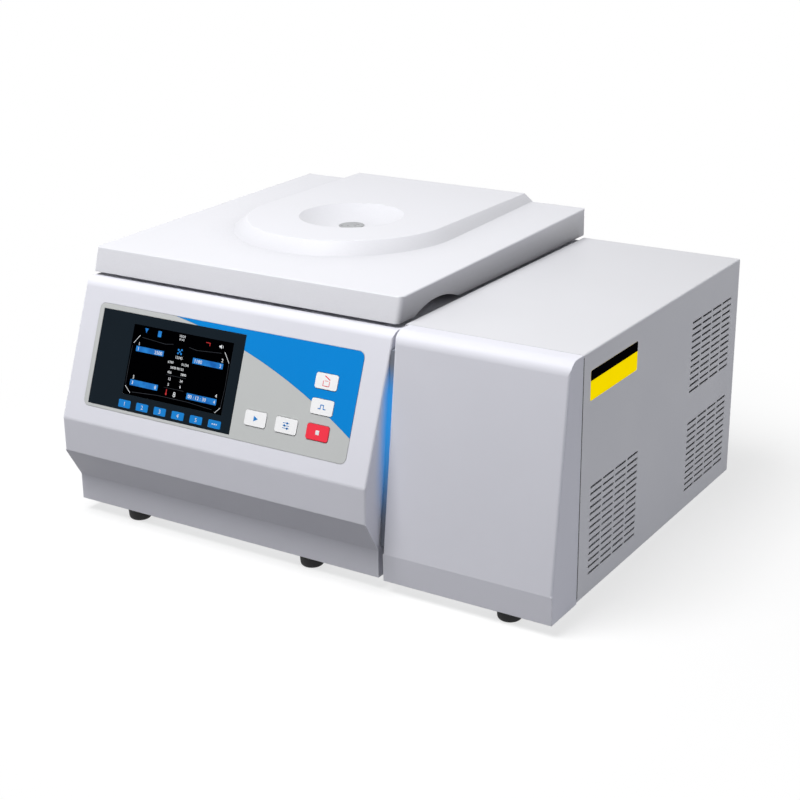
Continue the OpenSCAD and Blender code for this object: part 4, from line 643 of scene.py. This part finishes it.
# %% Spill the light
STRIP_DEEP = 0.008
SPILL_REACH = 0.021
SPILL_FULL = 0.008
SKIN_START = 0.002
SKIN_FULL = 0.0002
SKIN_PAST = 0.0005
console_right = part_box("front_console")[1][0]
spill_tree = finishes["console_grey"].node_tree
spill_axes = part_axes(spill_tree)
lean = (strip_high[1] - STRIP_DEEP - strip_low[1]) / (strip_high[2] - strip_low[2])
upright = add(
    spill_tree,
    "ShaderNodeMath",
    {1: -lean},
    {0: spill_axes["Z"], 2: spill_axes["Y"]},
    operation="MULTIPLY_ADD",
).outputs[0]
strip_front = strip_low[1] - lean * strip_low[2]
spill = product(
    spill_tree,
    lit_height(spill_tree, spill_axes["Z"]),
    ramp(spill_tree, upright, strip_front - SPILL_REACH, strip_front + SPILL_FULL),
    ramp(spill_tree, spill_axes["X"], console_right - SKIN_START, console_right - SKIN_FULL),
    ramp(spill_tree, spill_axes["X"], strip_high[0], console_right + SKIN_PAST),
)
shine_through(finishes["console_grey"], spill)
print(f"spill over {SPILL_REACH * 1000:.0f} mm, leaning by {lean:.3f}")

# %% [markdown]
# ## The control face
# Screen, keys and film lie on the sloping face of the console. A key is pressed straight into that
# face, so the axis of its joint gives the direction of the face. Print is drawn in millimetres from
# the lower left corner or the middle of the solid that carries it. Drawn this way, it never needs
# to know where the console stands.

# %% Measure the control face
MM = 0.001
FLAT_BAND = 0.02 * MM
press_axis = next(joint["axis"] for joint in frame["joints"] if joint["name"] == "lid_key_press")
face_out = -Vector(press_axis).normalized()
face_right = Vector((1.0, 0.0, 0.0))
face_up = face_out.cross(face_right)


def front_of(node):
    """Lower left corner and size of a solid's outermost flat, measured along the control face."""
    solid = solids[node]
    points = [solid.matrix_world @ vertex.co for vertex in solid.data.vertices]
    places = [Vector((p.dot(face_right), p.dot(face_up), p.dot(face_out))) for p in points]
    outermost = max(place.z for place in places)
    flat = [place for place in places if place.z > outermost - FLAT_BAND]
    low = Vector((min(p.x for p in flat), min(p.y for p in flat), outermost))
    high = Vector((max(p.x for p in flat), max(p.y for p in flat), outermost))
    return low, high - low


def face_matrix(place):
    """A transform from millimetres on the control face to the scene."""
    origin = place.x * face_right + place.y * face_up + place.z * face_out
    return axes_to_matrix(face_right, face_up, face_out, origin) @ Matrix.Scale(MM, 4)


for node in ("lcd_module", "display_window", "lid_key"):
    flat_size = front_of(node)[1] / MM
    print(f"{node}: flat of {flat_size.x:.1f} by {flat_size.y:.1f} mm")

# %% [markdown]
# ## Print as thin plates
# Print could be a pattern in a material, but sharp edges in nodes take many of them. Here it is a
# mesh: each outline becomes a plate less than a tenth of a millimetre thick, with a top, a bottom
# and sides. It lies a hair above its solid, so that the two never share a plane, and it rides on the
# same body.

# %% Define the plates
LIFT = 0.02
THICK = 0.08


def show(name, shape, matrix, material, body):
    """Puts a finished bmesh in the scene, as a piece that goes along with a body."""
    mesh = bpy.data.meshes.new(name)
    shape.to_mesh(mesh)
    shape.free()
    mesh.transform(matrix)
    mesh.materials.append(material)
    piece = put(name, mesh)
    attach(piece, body)


def plates(name, outlines, matrix, material, body):
    """Thin plates with outlines in millimetres."""
    shape = bmesh.new()
    for outline in outlines:
        below = [shape.verts.new((x, y, LIFT)) for x, y in outline]
        above = [shape.verts.new((x, y, LIFT + THICK)) for x, y in outline]
        shape.faces.new(above)
        shape.faces.new(below[::-1])
        for i in range(len(outline)):
            shape.faces.new((below[i - 1], below[i], above[i], above[i - 1]))
    bmesh.ops.recalc_face_normals(shape, faces=shape.faces)
    show(name, shape, matrix, material, body)


print(f"plates of {THICK} mm, {LIFT} mm above their solid")

# %% [markdown]
# ## Outlines
# A few outlines draw everything on this machine: arcs, discs, boxes with round corners, and lines of
# even width. A line becomes an outline by stepping half its width to both sides, with mitred
# corners. A curve with a bevel could do that too, but makes a round tube with many faces.

# %% Define the outlines
CORNER_STEPS = 5
DISC_END = 340
DISC_STEPS = 12
MITRE_LIMIT = 0.4


def arc(x, y, radius, start, end, steps):
    """Points on part of a circle, with angles in degrees."""
    angles = [math.radians(start + (end - start) * i / steps) for i in range(steps + 1)]
    return [(x + radius * math.cos(a), y + radius * math.sin(a)) for a in angles]


def disc(x, y, radius):
    """Outline of a round spot."""
    return arc(x, y, radius, 0, DISC_END, DISC_STEPS)


def rounded_box(x0, y0, x1, y1, radius):
    """Outline of a box with round corners."""
    middles = ((x1, y0, 270), (x1, y1, 0), (x0, y1, 90), (x0, y0, 180))
    outline = []
    for x, y, start in middles:
        inward_x = radius if x == x0 else -radius
        inward_y = radius if y == y0 else -radius
        outline += arc(x + inward_x, y + inward_y, radius, start, start + 90, CORNER_STEPS)
    return outline


def line(points, width):
    """Outline of an open line of even width."""
    spots = [Vector(point) for point in points]
    headings = [(b - a).normalized() for a, b in zip(spots, spots[1:])]
    left = []
    right = []
    for i, spot in enumerate(spots):
        first = headings[max(i - 1, 0)]
        second = headings[min(i, len(headings) - 1)]
        normal = Vector((-second.y, second.x))
        mitre = (Vector((-first.y, first.x)) + normal).normalized()
        step = mitre * (width / 2 / max(mitre.dot(normal), MITRE_LIMIT))
        left.append(tuple(spot + step))
        right.append(tuple(spot - step))
    return left + right[::-1]


print("a disc has", len(disc(0, 0, 1)), "points, a rounded box", len(rounded_box(0, 0, 2, 2, 0.5)))

# %% [markdown]
# ## Numbers and lit colours
# Numbers come from the built-in font. A text object can't be joined with others, so each is turned
# into a mesh, and all numbers of one place become one piece, a layer above the plates. The screen's
# colours give light of their own, as a lit panel does, and drift a little between two shades.

# %% Define the numbers and the screen colours
FIGURE_SHARE = 0.69
FONT_STEPS = 3
SECOND_LAYER = LIFT + THICK * 1.5


def numbers(name, items, matrix, material, body):
    """Numbers as one piece; each item is a text, its place, its height and its alignment."""
    shape = bmesh.new()
    for text, x, y, height, align in items:
        letters = bpy.data.curves.new("number", "FONT")
        letters.body = text
        letters.size = height / FIGURE_SHARE
        letters.extrude = THICK / 2
        letters.resolution_u = FONT_STEPS
        letters.align_x = align
        holder = bpy.data.objects.new("number", letters)
        mesh = bpy.data.meshes.new_from_object(holder)
        mesh.transform(Matrix.Translation((x, y - height / 2, SECOND_LAYER)))
        shape.from_mesh(mesh)
        bpy.data.objects.remove(holder)
        bpy.data.curves.remove(letters)
        bpy.data.meshes.remove(mesh)
    show(name, shape, matrix, material, body)


def glow(name, low, high, scale):
    """A lit colour that drifts between two screen colours."""
    material, tree, shader = new_material(name)
    pattern = group_node(tree, surface_grain, {"Mottle Scale": scale})
    share = ranged(tree, pattern.outputs["Mottle"], 0.0, 1.0)
    colour = mixed(tree, share, linear(low), linear(high))
    tree.links.new(colour, shader.inputs["Emission Color"])
    shader.inputs["Emission Strength"].default_value = 1.0
    shader.inputs["Base Color"].default_value = linear((6, 6, 7))
    shader.inputs["Specular IOR Level"].default_value = 0.05
    return material


screen_white = glow("screen_white", (214, 218, 222), (246, 248, 250), 90)
screen_faint = glow("screen_faint", (38, 41, 46), (66, 70, 76), 60)
screen_blue = glow("screen_blue", (14, 92, 172), (40, 140, 222), 70)
screen_red = glow("screen_red", (176, 36, 40), (214, 60, 60), 70)
print("screen colours ready")

# %% [markdown]
# ## Fields and signs on the screen
# The picture on the screen is made up: four blue fields, and signs along the top and in the middle.
# Places are shares of the screen, from its upper left corner, because that is how one reads them off
# a picture. Signs are drawn in millimetres round their own middle.

# %% Draw the fields and signs
SPOT_HALF = 1.1
SPOT_CORNER = 0.5
screen_low, screen_size = front_of("lcd_module")
screen = face_matrix(screen_low)


def at(across, down):
    """Millimetres on the screen from shares of its width and height."""
    return across * screen_size.x / MM, (1 - down) * screen_size.y / MM


def screen_box(left, top, right, bottom, radius=0.5):
    """Outline of a box from shares of the screen."""
    x0, y0 = at(left, bottom)
    x1, y1 = at(right, top)
    return rounded_box(x0, y0, x1, y1, radius)


fields = [
    screen_box(0.056, 0.297, 0.34, 0.373),
    screen_box(0.636, 0.303, 0.935, 0.382),
    screen_box(0.054, 0.779, 0.34, 0.862),
    screen_box(0.636, 0.8, 0.932, 0.886),
]
plates("screen_fields", fields, screen, screen_blue, "housing")
sign_x, sign_y = at(0.497, 0.26)
signs = []
for dx, dy in ((-2.4, 2.0), (2.4, 2.4), (0, 0), (-2.6, -2.2), (2.2, -2.4)):
    x = sign_x + dx
    y = sign_y + dy
    signs.append(rounded_box(x - SPOT_HALF, y - SPOT_HALF, x + SPOT_HALF, y + SPOT_HALF, SPOT_CORNER))
signs.append(screen_box(0.25, 0.03, 0.284, 0.115, 0.8))
drop_x, drop_y = at(0.13, 0.06)
signs.append([(drop_x - 2.6, drop_y + 2.8), (drop_x, drop_y - 3.2), (drop_x + 2.6, drop_y + 2.8)])
plates("screen_signs", signs, screen, screen_blue, "housing")
warm_x, warm_y = at(0.432, 0.853)
reds = [rounded_box(warm_x - 0.6, warm_y - 1.5, warm_x + 0.6, warm_y + 3.6, 0.5)]
reds.append(disc(warm_x, warm_y - 2.2, 1.3))
reds.append(line([at(0.735, 0.06), at(0.775, 0.06), at(0.775, 0.1)], 0.7))
plates("screen_reds", reds, screen, screen_red, "housing")
print(f"{len(fields)} fields and {len(signs) + len(reds)} signs")

# %% [markdown]
# ## Lines on the screen
# Four bright strokes cut the corners of the picture, and fainter lines run between them and part the
# column of figures. A small horn in the upper right corner is half an outline and its mirror image.
# The strokes are lines of even width, so only their points are written down.

# %% Draw the lines
CORNER_WIDTH = 0.55
EDGE_WIDTH = 0.4
RULE_WIDTH = 0.35
HORN_HALF = ((-1.8, 1.0), (0, 1.0), (1.8, 2.6))
corner_strokes = (
    ((0.022, 0.263), (0.076, 0.14)),
    ((0.93, 0.143), (0.986, 0.281)),
    ((0.012, 0.881), (0.071, 0.972)),
    ((0.934, 0.985), (0.979, 0.905)),
)
edge_lines = (
    ((0.1, 0.165), (0.34, 0.195), (0.42, 0.175)),
    ((0.58, 0.175), (0.66, 0.195), (0.9, 0.165)),
    ((0.986, 0.281), (0.99, 0.6), (0.979, 0.905)),
    ((0.014, 0.3), (0.01, 0.6), (0.012, 0.86)),
    ((0.09, 0.955), (0.34, 0.925), (0.66, 0.925), (0.9, 0.955)),
)
rules = (((0.4, 0.61), (0.6, 0.61)), ((0.4, 0.79), (0.6, 0.79)))


def screen_lines(paths, width):
    """Outlines of lines through points that are shares of the screen."""
    return [line([at(*point) for point in path], width) for path in paths]


bright = screen_lines(corner_strokes, CORNER_WIDTH)
horn_x, horn_y = at(0.88, 0.078)
horn_lower = [(horn_x + x, horn_y - y) for x, y in HORN_HALF]
horn_upper = [(horn_x + x, horn_y + y) for x, y in HORN_HALF[::-1]]
bright.append(horn_lower + horn_upper)
bright.append(line(arc(horn_x + 1.4, horn_y, 2.4, -40, 40, 6), 0.5))
plates("screen_lines", bright, screen, screen_white, "housing")
faint = screen_lines(edge_lines, EDGE_WIDTH) + screen_lines(rules, RULE_WIDTH)
plates("screen_hairlines", faint, screen, screen_faint, "housing")
print(f"{len(bright)} bright and {len(faint)} faint lines")

# %% [markdown]
# ## Figures on the screen
# Each field carries its own number and a plain value, and a column of small figures stands between
# the fields. The figures mean nothing: they only give the screen the look of being in use. One table
# holds text, place, height in millimetres and alignment, so that all become one piece.

# %% Set the figures
figure_table = (
    ("1", 0.07, 0.262, 4.2, "LEFT"),
    ("1", 0.07, 0.337, 4.0, "LEFT"),
    ("2500", 0.326, 0.337, 4.2, "RIGHT"),
    ("2", 0.93, 0.262, 4.2, "RIGHT"),
    ("1180", 0.65, 0.343, 4.2, "LEFT"),
    ("2", 0.92, 0.343, 4.0, "RIGHT"),
    ("3", 0.07, 0.74, 4.2, "LEFT"),
    ("3", 0.07, 0.82, 4.0, "LEFT"),
    ("8", 0.326, 0.82, 4.2, "RIGHT"),
    ("4", 0.93, 0.755, 4.2, "RIGHT"),
    ("00 : 12 : 30", 0.65, 0.843, 4.2, "LEFT"),
    ("4", 0.922, 0.843, 4.0, "RIGHT"),
    ("10:24", 0.496, 0.042, 3.0, "CENTER"),
    ("01.02", 0.496, 0.088, 2.4, "CENTER"),
    ("12345", 0.497, 0.345, 3.2, "CENTER"),
    ("6789", 0.425, 0.427, 3.0, "CENTER"),
    ("01234", 0.57, 0.427, 3.0, "CENTER"),
    ("5678 90123", 0.497, 0.497, 3.0, "CENTER"),
    ("456", 0.43, 0.568, 3.0, "CENTER"),
    ("7890", 0.57, 0.568, 3.0, "CENTER"),
    ("12", 0.44, 0.66, 3.2, "CENTER"),
    ("34", 0.56, 0.66, 3.2, "CENTER"),
    ("5", 0.44, 0.74, 3.4, "CENTER"),
    ("6", 0.56, 0.74, 3.4, "CENTER"),
    ("8", 0.515, 0.862, 6.0, "CENTER"),
)
figures = [(text, *at(across, down), height, align) for text, across, down, height, align in figure_table]
numbers("screen_figures", figures, screen, screen_white, "housing")
print(f"screen of {screen_size.x / MM:.1f} by {screen_size.y / MM:.1f} mm with {len(figures)} numbers")

# %% [markdown]
# ## Soft keys
# Below the screen, six soft keys are printed on the dark window. Five carry a number and the last one
# three dots. They don't move, so they ride on the housing. Their marks lie on them as a second layer
# of print, one thickness higher.

# %% Print the soft keys
SOFT_COUNT = 6
SOFT_FIRST = 48.3
SOFT_PITCH = 28
SOFT_WIDE = 18.8
SOFT_BOTTOM = 3.2
SOFT_TOP = 12.8
SOFT_CORNER = 1.4
MARK_TALL = 5.0
soft_blue = finish("soft_blue", (0, 130, 212), 0.4, drift=0.05, mottle=60, grain=2600, shine=0.3)
print_white = finish("print_white", (240, 242, 244), 0.4, drift=0.02, grain=2600)
window_low, window_size = front_of("display_window")
window = face_matrix(window_low)
raised = window @ Matrix.Translation((0, 0, THICK))
soft_left = [SOFT_FIRST + SOFT_PITCH * i for i in range(SOFT_COUNT)]
soft_keys = [rounded_box(x, SOFT_BOTTOM, x + SOFT_WIDE, SOFT_TOP, SOFT_CORNER) for x in soft_left]
plates("soft_keys", soft_keys, window, soft_blue, "housing")
soft_middle = [(x + SOFT_WIDE / 2, (SOFT_BOTTOM + SOFT_TOP) / 2) for x in soft_left]
soft_marks = [(str(i + 1), *place, MARK_TALL, "CENTER") for i, place in enumerate(soft_middle[:-1])]
numbers("soft_key_numbers", soft_marks, raised, print_white, "housing")
last_x, last_y = soft_middle[-1]
dots = [disc(last_x + dx, last_y, 0.9) for dx in (-3, 0, 3)]
plates("soft_key_dots", dots, raised, print_white, "housing")
print(f"{len(soft_keys)} soft keys on a window {window_size.x / MM:.1f} mm wide")

# %% [markdown]
# ## Key signs
# The five keys beside the window carry a simple sign each, drawn in millimetres round the middle of
# the key. A sign goes along with its key when the key is pressed, so it rides on the key's body and
# not on the housing.

# %% Print the key signs
sign_blue = finish("sign_blue", (0, 126, 204), 0.4, drift=0.03, grain=2600)
sign_red = finish("sign_red", (240, 56, 78), 0.4, drift=0.03, grain=2600)
lid_sign = [
    line([(-4.2, 0.6), (-4.2, -5.4), (4.2, -5.4), (4.2, 0.6)], 0.8),
    line([(-3.0, 6.4), (4.6, 2.2)], 1.2),
    line([(-2.4, 0.6), (2.4, 0.6)], 0.6),
]
pulse_sign = [line([(-5.4, -2.2), (-2, -2.2), (-2, 2.4), (2, 2.4), (2, -2.2), (5.4, -2.2)], 1.1)]
start_sign = [[(-2.4, -3.4), (3.6, 0), (-2.4, 3.4)]]
set_sign = [line([(-4.6, y), (4.6, y)], 0.7) for y in (-3, 0, 3)]
set_sign += [disc(x, y, 1.3) for x, y in ((2, -3), (-2.2, 0), (1.2, 3))]
stop_sign = [rounded_box(-2.6, -2.6, 2.6, 2.6, 0.4)]
key_signs = {
    "lid_key": (lid_sign, sign_red),
    "pulse_key": (pulse_sign, sign_blue),
    "start_key": (start_sign, sign_blue),
    "set_key": (set_sign, sign_blue),
    "stop_key": (stop_sign, print_white),
}
for key, (outlines, ink) in key_signs.items():
    key_low, key_size = front_of(key)
    middle = Vector((key_low.x + key_size.x / 2, key_low.y + key_size.y / 2, key_low.z))
    plates(key + "_sign", outlines, face_matrix(middle), ink, key)
print(f"{len(key_signs)} key signs")

# %% [markdown]
# ## The plate on the bay
# A yellow plate with a dark band sits near the front of the bay's right side. It is left bare. Its place is
# measured in millimetres from the front and the top of the sheet that carries it. The yellow also gives light of
# its own, painted light that keeps it bright on the shaded side.

# %% Stick on the plate
PLATE_FRONT = 17.8
PLATE_REAR = 139.3
PLATE_TOP = -22.7
PLATE_BOTTOM = -57.3
BAND_BOTTOM = -34.6
PLATE_CORNER = 2.0
PLATE_PAINTED_LIGHT = 0.55
cover_low, cover_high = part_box("bay_cover")
side_place = Vector((cover_high[0], cover_low[1], cover_high[2]))
side_axes = axes_to_matrix(Vector((0, 1, 0)), Vector((0, 0, 1)), Vector((1, 0, 0)), side_place)
side = side_axes @ Matrix.Scale(MM, 4)
plate_yellow = finish("plate_yellow", (255, 224, 0), 0.5, drift=0.02, mottle=20, shine=0.0)
# Painted light: the yellow glows with its own colour, so it stays bright in the side's shade.
plate_shader = plate_yellow.node_tree.nodes["Principled BSDF"]
plate_colour = plate_shader.inputs["Base Color"].links[0].from_socket
plate_yellow.node_tree.links.new(plate_colour, plate_shader.inputs["Emission Color"])
plate_shader.inputs["Emission Strength"].default_value = PLATE_PAINTED_LIGHT
plate_black = finish("plate_black", (10, 10, 11), 0.5, drift=0.15, mottle=40, shine=0.0)
plate = rounded_box(PLATE_FRONT, PLATE_BOTTOM, PLATE_REAR, PLATE_TOP, PLATE_CORNER)
plates("bay_plate", [plate], side, plate_yellow, "housing")
band = rounded_box(PLATE_FRONT, BAND_BOTTOM, PLATE_REAR, PLATE_TOP, PLATE_CORNER)
band_middle = (BAND_BOTTOM + PLATE_TOP) / 2
band = [(x, BAND_BOTTOM) if y < band_middle else (x, y) for x, y in band]
plates("bay_plate_band", [band], side @ Matrix.Translation((0, 0, THICK)), plate_black, "housing")
print(f"plate of {PLATE_REAR - PLATE_FRONT:.1f} by {PLATE_TOP - PLATE_BOTTOM:.1f} mm")

# %% [markdown]
# ## The seam of the bay
# The sheet of the bay starts behind the moulded front with a narrow gap. A dark line is painted over that gap on
# the side, as painted shade for the gap, which the solids alone leave too light. It is a line like those on the
# screen, only longer, and is placed in the same millimetres as the plate.

# %% Paint the seam's shade
SEAM_SHADE_PLACE = -0.2
SEAM_SHADE_WIDTH = 1.7
SEAM_SHADE_FOOT = 4
SEAM_SHADE_HEAD = 3.4
seam_shade_black = finish("seam_shade_black", (52, 52, 56), 0.6, drift=0.1, mottle=60, shine=0.2)
cover_tall = (cover_high[2] - cover_low[2]) / MM
seam_shade_ends = [(SEAM_SHADE_PLACE, -cover_tall + SEAM_SHADE_FOOT), (SEAM_SHADE_PLACE, -SEAM_SHADE_HEAD)]
# Painted shade: a dark line on the side where the seam's gap is.
plates("seam_painted_shade", [line(seam_shade_ends, SEAM_SHADE_WIDTH)], side, seam_shade_black, "housing")
print(f"trim of {cover_tall - SEAM_SHADE_FOOT - SEAM_SHADE_HEAD:.0f} mm")

# %% [markdown]
# ## Filters behind the vents
# Behind each rear field of vent slots lies a pad of dark filter foam, so that one sees no daylight
# through the bay. A pad is a slab with a chamfered rim, a little larger than its field of slots. It
# is built from three rings of corners, because the rim then needs no modifier. Its depths count
# from the outer face of the sheet, and inwards is negative.

# %% Back the vents
CHAMFER = 1
FILTER_NEAR = -1.8
FILTER_FAR = -5
FILTER_REAR = 21
FILTER_LONG = 132
FILTER_TALL = 97
filter_bottoms = {"upper_vent_filter": -139, "lower_vent_filter": -271}


def pad(name, left, bottom, right, top, near, far, matrix, material):
    """A slab between two depths, with its outer rim chamfered."""
    shape = bmesh.new()
    rings = []
    for inset, depth in ((0, far), (0, near - CHAMFER), (CHAMFER, near)):
        corners = (
            (left + inset, bottom + inset),
            (right - inset, bottom + inset),
            (right - inset, top - inset),
            (left + inset, top - inset),
        )
        rings.append([shape.verts.new((x, y, depth)) for x, y in corners])
    for lower, upper in zip(rings, rings[1:]):
        for i in range(4):
            shape.faces.new((lower[i - 1], lower[i], upper[i], upper[i - 1]))
    shape.faces.new(rings[0][::-1])
    shape.faces.new(rings[-1])
    bmesh.ops.recalc_face_normals(shape, faces=shape.faces)
    show(name, shape, matrix, material, "housing")


filter_black = finish("filter_black", (14, 14, 15), 0.95, drift=0.3, grain=700, depth=0.0003, shine=0.0)
rear = (cover_high[1] - cover_low[1]) / MM - FILTER_REAR
for name, low in filter_bottoms.items():
    pad(name, rear - FILTER_LONG, low, rear, low + FILTER_TALL, FILTER_NEAR, FILTER_FAR, side, filter_black)
print(f"{len(filter_bottoms)} filter pads of {FILTER_LONG} by {FILTER_TALL} mm")
